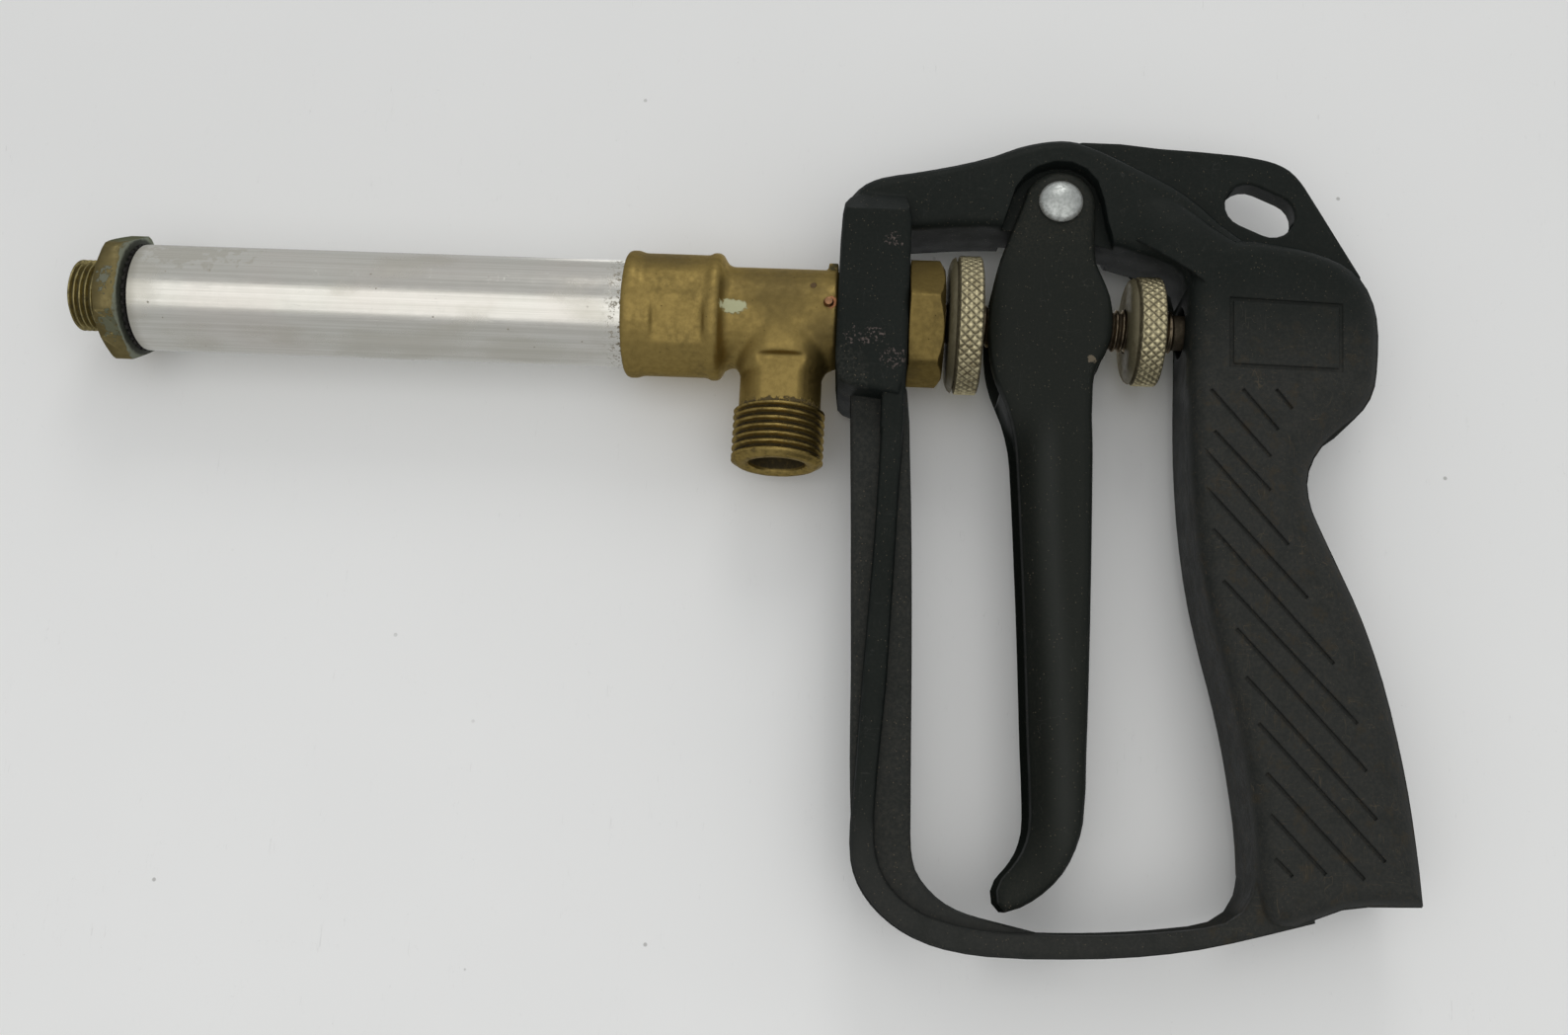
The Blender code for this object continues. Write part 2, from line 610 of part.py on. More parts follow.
def make_valve_body(look):
    """The tee: a socket for the lance, a barrel, a threaded inlet below and a tail through the block."""
    front, rear = SOCKET_X
    run = lathe(
        "valve_body",
        [
            (front, 0.0), (front, SOCKET_R - 0.3), (front + 0.4, SOCKET_BEAD_R - 0.3),
            (front + 1.2, SOCKET_BEAD_R), (front + 2.6, SOCKET_BEAD_R), (front + 4.2, SOCKET_R),
            (rear - 3.4, SOCKET_R), (rear - 2.6, SOCKET_BEAD_R), (rear - 1.2, SOCKET_BEAD_R),
            (rear - 0.4, SOCKET_BEAD_R - 0.5), (rear, SOCKET_R - 0.8), (rear + 0.8, BARREL_R + 0.5),
            (rear + 2.0, BARREL_R),
            (BLOCK_X[0] - GAP, BARREL_R), (BLOCK_X[0] - GAP, TAIL_R), (TAIL_END_X, TAIL_R), (TAIL_END_X, 0.0),
        ],
    )
    branch_profile = [
        (0.0, 0.0), (0.0, 11.4), (-8.4, 11.4), (-10.6, 11.0), (-12.6, 10.2), (-14.4, NECK_R), (-22.8, NECK_R),
    ]
    branch_profile += thread_profile(-23.2, -34.2, INLET_THREAD_R, INLET_PITCH, 1.16)
    branch_profile += [(-34.3, 9.3), (-AXIS_Z, 8.9), (-AXIS_Z, 0.0)]
    branch = lathe("branch", branch_profile, "Z", sides=ROUND)
    lug = box("lug", (9.9, -4.0, 0.0), (BLOCK_X[0] - GAP, 4.0, 12.9))
    joined(run, branch, lug)
    pads = [
        spanner_flat(),
        box("pad_neck_near", (-5.2, -14.0, -22.4), (5.2, -NECK_FLAT, -11.4)),
        box("pad_neck_far", (-5.2, NECK_FLAT, -22.4), (5.2, 14.0, -11.4)),
    ]
    bore = lathe(
        "run_bore",
        [
            (-60.0, 0.0), (-60.0, LANCE_R + GAP), (LANCE_REAR_X + GAP, LANCE_R + GAP),
            (LANCE_REAR_X + GAP, 8.2), (-15.4, 5.2), (-12.6, 5.2), (-12.6, CHAMBER_R), (14.0, CHAMBER_R),
            (14.0, PACKING_BORE_R), (60.0, PACKING_BORE_R), (60.0, 0.0),
        ],
    )
    inlet_profile = [(0.0, 0.0), (0.0, INLET_BORE_R), (-40.0, INLET_BORE_R), (-40.0, 0.0)]
    inlet_bore = lathe("inlet_bore", inlet_profile, "Z", sides=ROUND)
    cut(run, bore, inlet_bore, *pads)
    return finish(run, look)


def make_locating_pin(look):
    """A short pin that stands out of the barrel beside the block and stops the tee from turning."""
    reach = BARREL_R + 0.35
    profile = [(-reach - 1.2, 0.0), (-reach - 1.0, 0.9), (-reach, 1.2), (-reach, 0.0)]
    return finish(lathe("locating_pin", profile, "Y", (10.4, 0.0), 16), look)


def make_packing_nut(look):
    """The gland nut behind the block: a hexagon with a spigot that presses on the packing."""
    low, high = BLOCK_X[1] + GAP, PACKING_NUT_REAR_X
    nut = hexagon("packing_nut", low, high, PACKING_NUT_FLATS, PACKING_NUT_TURN, (0.2, 1.3))
    spigot_r = PACKING_BORE_R - GAP
    spigot = lathe("spigot", [(24.0, 0.0), (24.0, spigot_r), (low + 1.0, spigot_r), (low + 1.0, 0.0)])
    joined(nut, spigot)
    hole = ROD_THREAD_R + GAP
    cut(nut, lathe("bore", [(20.0, 0.0), (20.0, hole), (40.0, hole), (40.0, 0.0)], sides=32))
    return finish(nut, look)


def ring(name, low, high, inner, outer, look, edge=0.25, sides=24):
    """A plain turned ring with slightly broken outer edges."""
    profile = [
        (low, inner), (low, outer - edge), (low + edge, outer), (high - edge, outer), (high, outer - edge),
        (high, inner),
    ]
    return finish(lathe(name, profile, sides=sides), look)


def make_spring(look):
    """The return spring round the rod, between the valve head and the packing washer."""
    low, high, mean, wire = -4.9, 13.3, 6.3, 0.7
    turns, per_turn, around = 5, 14, 5
    steps = turns * per_turn
    bm = bmesh.new()
    rings = []
    for k in range(steps + 1):
        angle = math.tau * k / per_turn
        x = low + wire + (high - low - 2 * wire) * k / steps
        loop = []
        for j in range(around):
            lean = math.tau * j / around
            radius = mean + wire * math.cos(lean)
            loop.append(
                bm.verts.new(
                    placed(x + wire * math.sin(lean), radius * math.cos(angle), radius * math.sin(angle))
                )
            )
        rings.append(loop)
    bridge(bm, rings)
    bm.faces.new(rings[0])
    bm.faces.new(rings[-1])
    return finish(new_object("return_spring", bm), look)


def make_rod(look):
    """The valve rod: a plain stem through the packing, then thread, then a plain end in the grip."""
    profile = [(ROD_FRONT_X, 0.0), (ROD_FRONT_X, 2.2), (-9.8, 2.6), (-9.8, ROD_TIP_R), (-4.9, ROD_TIP_R)]
    profile += [(-4.9, ROD_R), (31.0, ROD_R), (31.6, 4.4), (32.0, ROD_THREAD_R), (88.4, ROD_THREAD_R)]
    profile += [(88.8, 4.4), (89.4, ROD_R), (ROD_REAR_X - 0.6, ROD_R), (ROD_REAR_X, 3.4), (ROD_REAR_X, 0.0)]
    return finish(lathe("valve_rod", profile, sides=28, origin=(36.9, 0.0, 0.0)), look)


def make_wheel(name, places, radius, look):
    """A round nut on the rod's thread: a bevelled flange at the front and a broad rim for knurling."""
    front, flange, rim, rear = places
    hole = ROD_THREAD_R + GAP
    profile = [
        (front, hole), (front, radius - 2.0), (front + 0.5, radius - 1.0), (flange, radius - 0.3),
        (flange + 0.2, radius - 1.4), (rim, radius - 1.4), (rim + 0.3, radius - 0.2), (rim + 0.8, radius),
        (rear - 0.9, radius), (rear - 0.3, radius - 0.6), (rear, radius - 1.4), (rear, hole),
    ]
    return finish(lathe(name, profile, sides=40, origin=(front, 0.0, 0.0)), look)


# ---- lance -----------------------------------------------------------------------------------


def make_lance(look):
    profile = [
        (LANCE_FRONT_X, LANCE_BORE_R), (LANCE_FRONT_X, LANCE_R - 0.3), (LANCE_FRONT_X + 0.3, LANCE_R),
        (LANCE_REAR_X - 0.3, LANCE_R), (LANCE_REAR_X, LANCE_R - 0.3), (LANCE_REAR_X, LANCE_BORE_R),
    ]
    return finish(lathe("lance_tube", profile, sides=44), look)


def make_outlet(look):
    """The adapter in the lance's end: a hexagon, the outlet's thread and a spigot inside the tube."""
    low, high = OUTLET_HEX_X
    adapter = hexagon("outlet_adapter", low, high, OUTLET_FLATS, OUTLET_TURN, (1.3, 0.5))
    nose = [(OUTLET_FACE_X, 0.0), (OUTLET_FACE_X, 7.0), (OUTLET_FACE_X + 0.7, 7.4)]
    nose += thread_profile(OUTLET_FACE_X + 0.8, low - 0.6, OUTLET_THREAD_R, OUTLET_PITCH, 0.86)
    nose += [(low - 0.3, 7.3), (low + 2.0, 7.3), (low + 2.0, 0.0)]
    thread = lathe("nose", nose, sides=36)
    spigot_r = LANCE_BORE_R - GAP
    inside = [(high - 2.0, 0.0), (high - 2.0, spigot_r), (SPIGOT_END_X, spigot_r), (SPIGOT_END_X, 0.0)]
    joined(adapter, thread, lathe("spigot", inside, sides=36))
    bore = [(-180.0, 0.0), (-180.0, OUTLET_BORE_R), (-130.0, OUTLET_BORE_R), (-130.0, 0.0)]
    cut(adapter, lathe("bore", bore, sides=32))
    return finish(adapter, look)


# ---- the gun ---------------------------------------------------------------------------------


def make_all():
    clear_scene()
    plastic = material("handle_plastic", (0.020, 0.022, 0.025), 0.55, 0.0)
    trigger_plastic = material("trigger_plastic", (0.018, 0.020, 0.023), 0.5, 0.0)
    brass = material("brass", (0.33, 0.24, 0.085), 0.38, 1.0)
    old_brass = material("old_brass", (0.22, 0.18, 0.09), 0.45, 1.0)
    aluminium = material("brushed_aluminium", (0.62, 0.60, 0.59), 0.34, 1.0)
    steel = material("rivet_steel", (0.60, 0.61, 0.62), 0.35, 1.0)
    nickel = material("nickel_wheel", (0.50, 0.46, 0.38), 0.38, 1.0)
    rod_steel = material("dark_rod_steel", (0.10, 0.085, 0.07), 0.45, 1.0)
    spring_steel = material("spring_steel", (0.45, 0.45, 0.46), 0.3, 1.0)
    rubber = material("seal_rubber", (0.015, 0.015, 0.016), 0.7, 0.0)
    packing = material("packing_white", (0.75, 0.74, 0.70), 0.5, 0.0)

    make_handle(plastic)
    make_trigger(trigger_plastic)
    make_rivet(steel)

    make_valve_body(brass)
    make_locating_pin(old_brass)
    make_packing_nut(brass)
    ring("packing_follower", 21.6, 23.7, ROD_R + GAP, PACKING_BORE_R - GAP, brass)
    for k in range(3):
        start = 14.6 + 2.3 * k
        ring(f"packing_ring_{k + 1}", start, start + 2.0, ROD_R + GAP, PACKING_BORE_R - GAP, packing, 0.3)
    ring("spring_washer", 13.6, 14.3, ROD_R + GAP, PACKING_BORE_R - GAP, spring_steel, 0.1)
    make_spring(spring_steel)
    make_rod(rod_steel)
    ring("valve_head", -7.2, -5.2, ROD_TIP_R + GAP, 7.4, brass, 0.3)
    ring("valve_seat_disc", -9.5, -7.5, ROD_TIP_R + GAP, 6.6, rubber, 0.2)
    ring("seat_ring", -12.3, -9.8, ROD_TIP_R + GAP, CHAMBER_R - GAP, spring_steel, 0.3)
    make_wheel("lock_wheel", LOCK_WHEEL, LOCK_WHEEL_R, nickel)
    make_wheel("adjuster_wheel", ADJUSTER_WHEEL, ADJUSTER_WHEEL_R, nickel)

    make_lance(aluminium)
    make_outlet(old_brass)
    ring("outlet_gasket", -151.5, -150.7, LANCE_BORE_R + 0.1, LANCE_R + 0.1, rubber, 0.2, 36)


make_all()
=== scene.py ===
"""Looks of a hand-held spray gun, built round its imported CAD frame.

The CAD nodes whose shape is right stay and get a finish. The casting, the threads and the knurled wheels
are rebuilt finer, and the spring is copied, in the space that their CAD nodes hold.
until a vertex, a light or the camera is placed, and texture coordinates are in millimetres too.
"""

import json
import math

import bmesh
import bpy
from mathutils import Matrix, Vector


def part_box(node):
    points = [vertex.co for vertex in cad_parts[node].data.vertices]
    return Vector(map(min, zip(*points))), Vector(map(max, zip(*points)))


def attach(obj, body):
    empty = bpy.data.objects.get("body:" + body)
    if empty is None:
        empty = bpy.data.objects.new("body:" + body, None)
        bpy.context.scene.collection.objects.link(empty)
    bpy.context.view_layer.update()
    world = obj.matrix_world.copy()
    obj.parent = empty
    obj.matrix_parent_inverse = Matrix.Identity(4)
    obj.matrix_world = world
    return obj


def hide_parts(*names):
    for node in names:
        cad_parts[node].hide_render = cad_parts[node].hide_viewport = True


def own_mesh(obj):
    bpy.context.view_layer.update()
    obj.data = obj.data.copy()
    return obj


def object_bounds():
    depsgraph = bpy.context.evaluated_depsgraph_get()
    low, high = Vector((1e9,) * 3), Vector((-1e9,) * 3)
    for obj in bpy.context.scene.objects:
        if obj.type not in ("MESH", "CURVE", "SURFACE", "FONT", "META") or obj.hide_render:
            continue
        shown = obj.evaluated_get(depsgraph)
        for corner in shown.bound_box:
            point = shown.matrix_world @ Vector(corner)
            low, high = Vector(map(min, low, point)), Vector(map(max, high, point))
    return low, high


MM = 0.001

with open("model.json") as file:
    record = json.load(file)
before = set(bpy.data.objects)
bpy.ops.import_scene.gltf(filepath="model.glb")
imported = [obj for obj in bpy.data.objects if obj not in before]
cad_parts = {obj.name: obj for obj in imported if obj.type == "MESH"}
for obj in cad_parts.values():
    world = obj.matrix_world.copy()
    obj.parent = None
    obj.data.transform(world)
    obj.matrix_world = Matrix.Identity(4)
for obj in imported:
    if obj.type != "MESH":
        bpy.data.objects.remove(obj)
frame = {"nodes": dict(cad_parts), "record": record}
CAD_LOW, CAD_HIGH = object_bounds()


def box_mm(node):
    """Lowest and highest corner of a CAD node, in millimetres."""
    low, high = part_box(node)
    return low / MM, high / MM


def middle(node):
    low, high = box_mm(node)
    return (low + high) / 2


LANCE_LOW, LANCE_HIGH = box_mm("lance_tube")
VALVE_LOW = box_mm("valve_body")[0]
TRIGGER_LOW, TRIGGER_HIGH = box_mm("trigger")
HANDLE_LOW = box_mm("handle_frame")[0]
OUTLET_LOW = box_mm("outlet_adapter")[0]
AXIS_Z = (LANCE_LOW.z + LANCE_HIGH.z) / 2  # height of the lance's axis
INLET_X = 8.0  # the inlet's axis, behind the origin
BARREL_R = 11.7  # the tee's barrel, along the lance's axis
BRANCH_R = 11.4  # the tee's branch, down to the inlet
BLOCK_X = (20.5, 36.3)  # front and rear of the handle's block
ARM_REAR_X = 41.5  # rear face of the front arm's web
GRIP_X = 99.0  # front of the grip's cheek
ROD_GAP = 0.3  # between the valve rod and a wheel's hole
WELD = 0.001 * MM  # corners nearer than this are one
SIDES_PER_DIAMOND = 8  # the knurl's fineness
ON_CREST = 0.01  # a profile point this close to the full radius is cut by a thread or a knurl
PIECE_SHARP = math.radians(38)  # a finer piece's edges that bend more than this stay sharp
NODE_SHARP = math.radians(34)  # the same for a CAD node
HEXAGON_SHARP = math.radians(25)


# ---- node trees ------------------------------------------------------------------------------


class Tree:
    """One material's node tree. Each call adds what it names and gives back its output socket."""

    def __init__(self, name):
        self.material = bpy.data.materials.new(name)
        self.material.use_nodes = True
        self.nodes = self.material.node_tree.nodes
        self.links = self.material.node_tree.links
        self.shader = self.nodes["Principled BSDF"]
        where = self.nodes.new("ShaderNodeTexCoord").outputs["Object"]
        self.place = self.vector("MULTIPLY", where, (1 / MM,) * 3)
        split = self.node("SeparateXYZ")
        self.plug(split.inputs[0], self.place)
        self.x, self.y, self.z = split.outputs

    def node(self, kind, **settings):
        made = self.nodes.new("ShaderNode" + kind)
        for key, value in settings.items():
            setattr(made, key, value)
        return made

    def plug(self, socket, value):
        if isinstance(value, bpy.types.NodeSocket):
            self.links.new(value, socket)
        elif socket.type == "RGBA":
            socket.default_value = (*value, 1.0)
        else:
            socket.default_value = value

    def vector(self, operation, a, b):
        made = self.node("VectorMath", operation=operation)
        self.plug(made.inputs[0], a)
        self.plug(made.inputs[1], b)
        return made.outputs["Value" if operation in ("LENGTH", "DOT_PRODUCT") else "Vector"]

    def math(self, operation, a, b=0.0):
        made = self.node("Math", operation=operation)
        self.plug(made.inputs[0], a)
        self.plug(made.inputs[1], b)
        return made.outputs[0]

    def times(self, first, *others):
        for other in others:
            first = self.math("MULTIPLY", first, other)
        return first

    def most(self, first, *others):
        for other in others:
            first = self.math("MAXIMUM", first, other)
        return first

    def ramp(self, value, low, high, start=0.0, end=1.0):
        """Start below low, end above high, and smooth between. Low may be above high."""
        made = self.node("MapRange", interpolation_type="SMOOTHSTEP")
        if low > high:
            low, high, start, end = high, low, end, start
        for socket, number in zip(made.inputs, (value, low, high, start, end)):
            self.plug(socket, number)
        return made.outputs[0]

    def noise(self, per_mm, detail=3.0, stretch=(1.0, 1.0, 1.0), seed=0.0, rough=0.5):
        made = self.node("TexNoise")
        moved = self.vector("MULTIPLY", self.place, stretch)
        self.plug(made.inputs["Vector"], self.vector("ADD", moved, (seed, 2 * seed, 3 * seed)))
        self.plug(made.inputs["Scale"], per_mm)
        self.plug(made.inputs["Detail"], detail)
        self.plug(made.inputs["Roughness"], rough)
        return made.outputs[0]

    def cells(self, per_mm, stretch=(1.0, 1.0, 1.0)):
        """Distance to the nearest of scattered points, in cells."""
        made = self.node("TexVoronoi")
        self.plug(made.inputs["Vector"], self.vector("MULTIPLY", self.place, stretch))
        self.plug(made.inputs["Scale"], per_mm)
        return made.outputs["Distance"]

    def specks(self, per_mm, size, patch=0.5):
        """Small round spots, in loose groups."""
        spots = self.ramp(self.cells(per_mm), size, 0.6 * size)
        return self.times(spots, self.ramp(self.noise(0.35 * per_mm, 2.0, seed=7.0), patch, patch + 0.12))

    def hairlines(self, stretch, seed, width=0.006):
        """Thin scratches that run along the direction in which the noise is stretched."""
        field = self.noise(0.5, 2.0, stretch, seed)
        line = self.ramp(self.math("ABSOLUTE", self.math("SUBTRACT", field, 0.5)), width, 0.0)
        return self.times(line, self.ramp(self.noise(0.18, 2.0, seed=seed + 3.0), 0.52, 0.62))

    def mix(self, share, a, b):
        made = self.node("Mix", data_type="RGBA")
        self.plug(made.inputs[0], share)
        self.plug(made.inputs[6], a)
        self.plug(made.inputs[7], b)
        return made.outputs[2]

    def spot(self, centre, reach, ragged=0.5, per_mm=0.6, soft=0.28):
        """A soft-edged blob round a point, with this reach along each axis."""
        from_centre = self.vector("SUBTRACT", self.place, tuple(centre))
        squeezed = self.vector("DIVIDE", from_centre, reach)
        away = self.vector("LENGTH", squeezed, (0.0, 0.0, 0.0))
        wander = self.times(self.math("SUBTRACT", self.noise(per_mm, 4.0, seed=centre[0]), 0.5), 2 * ragged)
        return self.ramp(self.math("ADD", away, wander), 1.0, 1.0 - soft)

    def between(self, value, low, high, soft=1.0):
        rises = self.ramp(value, low - soft, low + soft)
        return self.times(rises, self.ramp(value, high + soft, high - soft))

    def radius(self, axis, centre):
        """Distance from an axis along X, Y or Z, whose place along the other two is given."""
        pair = {"X": (self.y, self.z), "Y": (self.x, self.z), "Z": (self.x, self.y)}[axis]
        squares = []
        for value, middle_value in zip(pair, centre):
            squares.append(self.math("POWER", self.math("SUBTRACT", value, middle_value), 2.0))
        return self.math("SQRT", self.math("ADD", squares[0], squares[1]))

    def rounded(self, radius):
        """The normal as if every edge had this radius."""
        made = self.node("Bevel", samples=4)
        self.plug(made.inputs["Radius"], radius * MM)
        return made.outputs[0]

    def hollows(self, reach):
        """1 deep in a corner or a groove, 0 in the open."""
        made = self.node("AmbientOcclusion", samples=6, only_local=True)
        self.plug(made.inputs["Distance"], reach * MM)
        return self.math("SUBTRACT", 1.0, made.outputs["AO"])

    def edges(self, radius, hollow):
        """1 on outward edges, 0 on flat faces and in corners."""
        flat = self.node("NewGeometry").outputs["Normal"]
        turn = self.math("SUBTRACT", 1.0, self.vector("DOT_PRODUCT", self.rounded(radius), flat))
        return self.times(self.ramp(turn, 0.004, 0.07), self.ramp(hollow, 0.42, 0.2))

    def bump(self, height, distance, normal=None, strength=1.0):
        made = self.node("Bump")
        self.plug(made.inputs["Strength"], strength)
        self.plug(made.inputs["Distance"], distance * MM)
        self.plug(made.inputs["Height"], height)
        if normal is not None:
            self.plug(made.inputs["Normal"], normal)
        return made.outputs[0]

    def done(self, colour, roughness, metallic, normal, specular=0.5, tint=(0.55, 0.52, 0.46)):
        """Finishes the material. A worn surface loses its shine where it is seen edge-on."""
        facing = self.node("LayerWeight").outputs["Facing"]
        for name, value in (
            ("Base Color", colour),
            ("Roughness", roughness),
            ("Metallic", metallic),
            ("Normal", normal),
            ("Specular IOR Level", self.ramp(facing, 0.45, 0.85, specular, 0.0)),
            ("Specular Tint", tint),
        ):
            self.plug(self.shader.inputs[name], value)
        return self.material


# ---- finishes --------------------------------------------------------------------------------


def handle_finish():
    """Black moulded plastic: grained, earthy on the grip, dusty in the channel, scuffed on the block."""
    t = Tree("handle_plastic")
    hollow = t.hollows(2.5)
    edge = t.edges(0.9, hollow)
    side = t.math("ABSOLUTE", t.y)
    broad = t.noise(0.05, 4.0, seed=1.0)
    cloudy = t.noise(0.22, 5.0, seed=4.0)

    on_grip = t.times(t.ramp(t.x, GRIP_X - 6.0, GRIP_X + 5.0), t.ramp(t.z, AXIS_Z + 12.0, AXIS_Z - 18.0))
    in_channel = t.times(
        t.between(side, 3.4, 6.4, 0.3), t.ramp(t.x, ARM_REAR_X + 2.0, ARM_REAR_X), t.ramp(t.z, 26.0, 16.0)
    )
    under_block = t.spot((BLOCK_X[0] + 2.0, -13.0, AXIS_Z - 19.0), (7.0, 9.0, 9.0), 0.5)
    low_rail = t.times(t.ramp(t.z, HANDLE_LOW.z + 34.0, HANDLE_LOW.z + 4.0), 0.5)
    dusty = t.most(t.times(on_grip, 0.75), in_channel, under_block, low_rail, 0.16)
    fine = t.noise(1.3, 6.0, seed=6.0, rough=0.68)
    dust = t.times(dusty, t.ramp(fine, 0.38, 0.68), t.ramp(cloudy, 0.2, 0.8, 0.55, 1.0))
    crumb_places = t.most(in_channel, under_block, t.ramp(on_grip, 0.0, 1.0, 0.6, 0.3))
    crumbs = t.times(t.specks(1.2, 0.18, 0.46), crumb_places)
    scuff_places = t.most(
        t.spot((BLOCK_X[0] + 6.0, -13.5, AXIS_Z - 8.0), (5.0, 3.0, 2.2), 1.3, 0.8),
        t.spot((BLOCK_X[1] - 3.0, -12.5, AXIS_Z - 13.0), (3.4, 3.0, 2.6), 1.4, 0.9),
        t.spot((BLOCK_X[1] - 3.5, -13.5, AXIS_Z + 15.0), (2.2, 3.0, 1.6), 1.2, 0.9),
    )
    scuffs = t.times(scuff_places, t.ramp(t.noise(1.6, 5.0, seed=9.0), 0.5, 0.66))
    scratches = t.most(
        t.hairlines((0.12, 1.0, 1.0), 11.0),
        t.hairlines((1.0, 1.0, 0.1), 21.0),
        t.hairlines((0.4, 1.0, 0.3), 31.0),
    )
    worn = t.times(edge, t.ramp(t.noise(0.5, 4.0, seed=5.0), 0.38, 0.66))

    colour = t.mix(t.ramp(broad, 0.3, 0.7), (0.0084, 0.0114, 0.0104), (0.0106, 0.0138, 0.0126))
    chalky = t.most(on_grip, t.ramp(t.z, HANDLE_LOW.z + 40.0, HANDLE_LOW.z + 12.0), t.times(in_channel, 0.7))
    colour = t.mix(t.times(chalky, t.ramp(cloudy, 0.25, 0.6, 0.7, 1.0)), colour, (0.0258, 0.0276, 0.0262))
    colour = t.mix(t.times(worn, 0.35), colour, (0.034, 0.037, 0.035))
    colour = t.mix(t.times(dust, 0.6), colour, (0.056, 0.054, 0.046))
    colour = t.mix(t.times(crumbs, 0.75), colour, (0.165, 0.135, 0.092))
    earthy = t.times(on_grip, t.ramp(t.noise(0.3, 5.0, seed=47.0, rough=0.62), 0.52, 0.7))
    colour = t.mix(t.times(earthy, 0.45), colour, (0.046, 0.036, 0.022))
    colour = t.mix(t.times(scratches, 0.3), colour, (0.055, 0.055, 0.052))
    colour = t.mix(t.times(scratches, on_grip, 0.5), colour, (0.085, 0.066, 0.040))
    colour = t.mix(t.times(scuffs, 0.7), colour, (0.150, 0.118, 0.108))
    roughness = t.math("ADD", t.ramp(cloudy, 0.3, 0.7, 0.42, 0.52), t.times(dust, 0.3))

    grain = t.math("ADD", t.noise(1.7, 3.0, rough=0.6), t.times(t.noise(0.35, 2.0, seed=2.0), 1.2))
    leather = t.ramp(on_grip, 0.0, 1.0, 0.45, 1.0)
    normal = t.bump(t.times(grain, leather), 0.09, t.rounded(0.8), 0.6)
    normal = t.bump(t.most(crumbs, scuffs), 0.05, normal)
    return t.done(colour, roughness, 0.0, normal, 0.17)


def trigger_finish():
    """Black plastic worn smooth by fingers, dusty round the pivot, with a few fine scratches, and painted
    shade and a painted highlight down its rounded front.
    """
    t = Tree("trigger_plastic")
    hollow = t.hollows(2.0)
    edge = t.edges(0.8, hollow)
    cloudy = t.noise(0.2, 5.0, seed=14.0)
    head = t.ramp(t.z, AXIS_Z + 4.0, AXIS_Z + 24.0)
    tip = t.ramp(t.z, TRIGGER_LOW.z + 16.0, TRIGGER_LOW.z + 2.0)
    dusty = t.most(t.times(head, 0.8), t.times(tip, 0.5), 0.2)
    fine = t.noise(1.5, 6.0, seed=9.0, rough=0.68)
    dust = t.times(dusty, t.ramp(fine, 0.4, 0.68), t.ramp(cloudy, 0.2, 0.8, 0.5, 1.0))
    crumbs = t.times(t.specks(1.1, 0.18, 0.46), t.most(head, tip, 0.45))
    scratches = t.most(t.hairlines((1.0, 1.0, 0.08), 17.0), t.hairlines((0.3, 1.0, 0.5), 27.0))
    nick = t.spot((TRIGGER_HIGH.x - 5.0, -8.0, AXIS_Z - 10.0), (1.3, 3.0, 0.9), 0.9, 1.2)
    from_front = t.math("SUBTRACT", t.x, t.ramp(t.z, 7.0, TRIGGER_LOW.z + 20.0, 61.0, 65.0))
    along = t.times(t.ramp(t.z, 16.0, 2.0), t.ramp(t.z, TRIGGER_LOW.z, TRIGGER_LOW.z + 25.0))
    # Painted shade where the lever's rounded front turns from the light, and a painted highlight stripe just
    # behind it.
    painted_front_shade = t.times(t.ramp(from_front, 6.4, 2.0), along)
    painted_highlight_stripe = t.times(t.between(from_front, 6.0, 9.0, 2.0), along)
    colour = t.mix(t.times(edge, 0.25), (0.0118, 0.0146, 0.0128), (0.030, 0.032, 0.030))
    # The painted shade on the front and the painted highlight stripe go into the colour here.
    colour = t.mix(t.times(painted_front_shade, 0.7), colour, (0.0035, 0.0046, 0.0038))
    colour = t.mix(t.times(painted_highlight_stripe, 0.5), colour, (0.0330, 0.0360, 0.0340))
    colour = t.mix(t.times(dust, 0.5), colour, (0.050, 0.044, 0.033))
    colour = t.mix(t.times(t.most(crumbs, nick), 0.7), colour, (0.180, 0.150, 0.105))
    colour = t.mix(t.times(scratches, 0.3), colour, (0.055, 0.055, 0.050))
    roughness = t.math("ADD", t.ramp(cloudy, 0.3, 0.7, 0.36, 0.46), t.times(dust, 0.3))
    grain = t.math("ADD", t.noise(3.0, 3.0, rough=0.6), t.times(t.noise(0.25, 2.0, seed=3.0), 1.4))
    normal = t.bump(grain, 0.035, t.rounded(0.7), 0.5)
    normal = t.bump(crumbs, 0.04, normal)
    # Less shine inside the painted shade on the front.
    return t.done(colour, roughness, 0.0, normal, t.ramp(painted_front_shade, 0.0, 1.0, 0.20, 0.10))


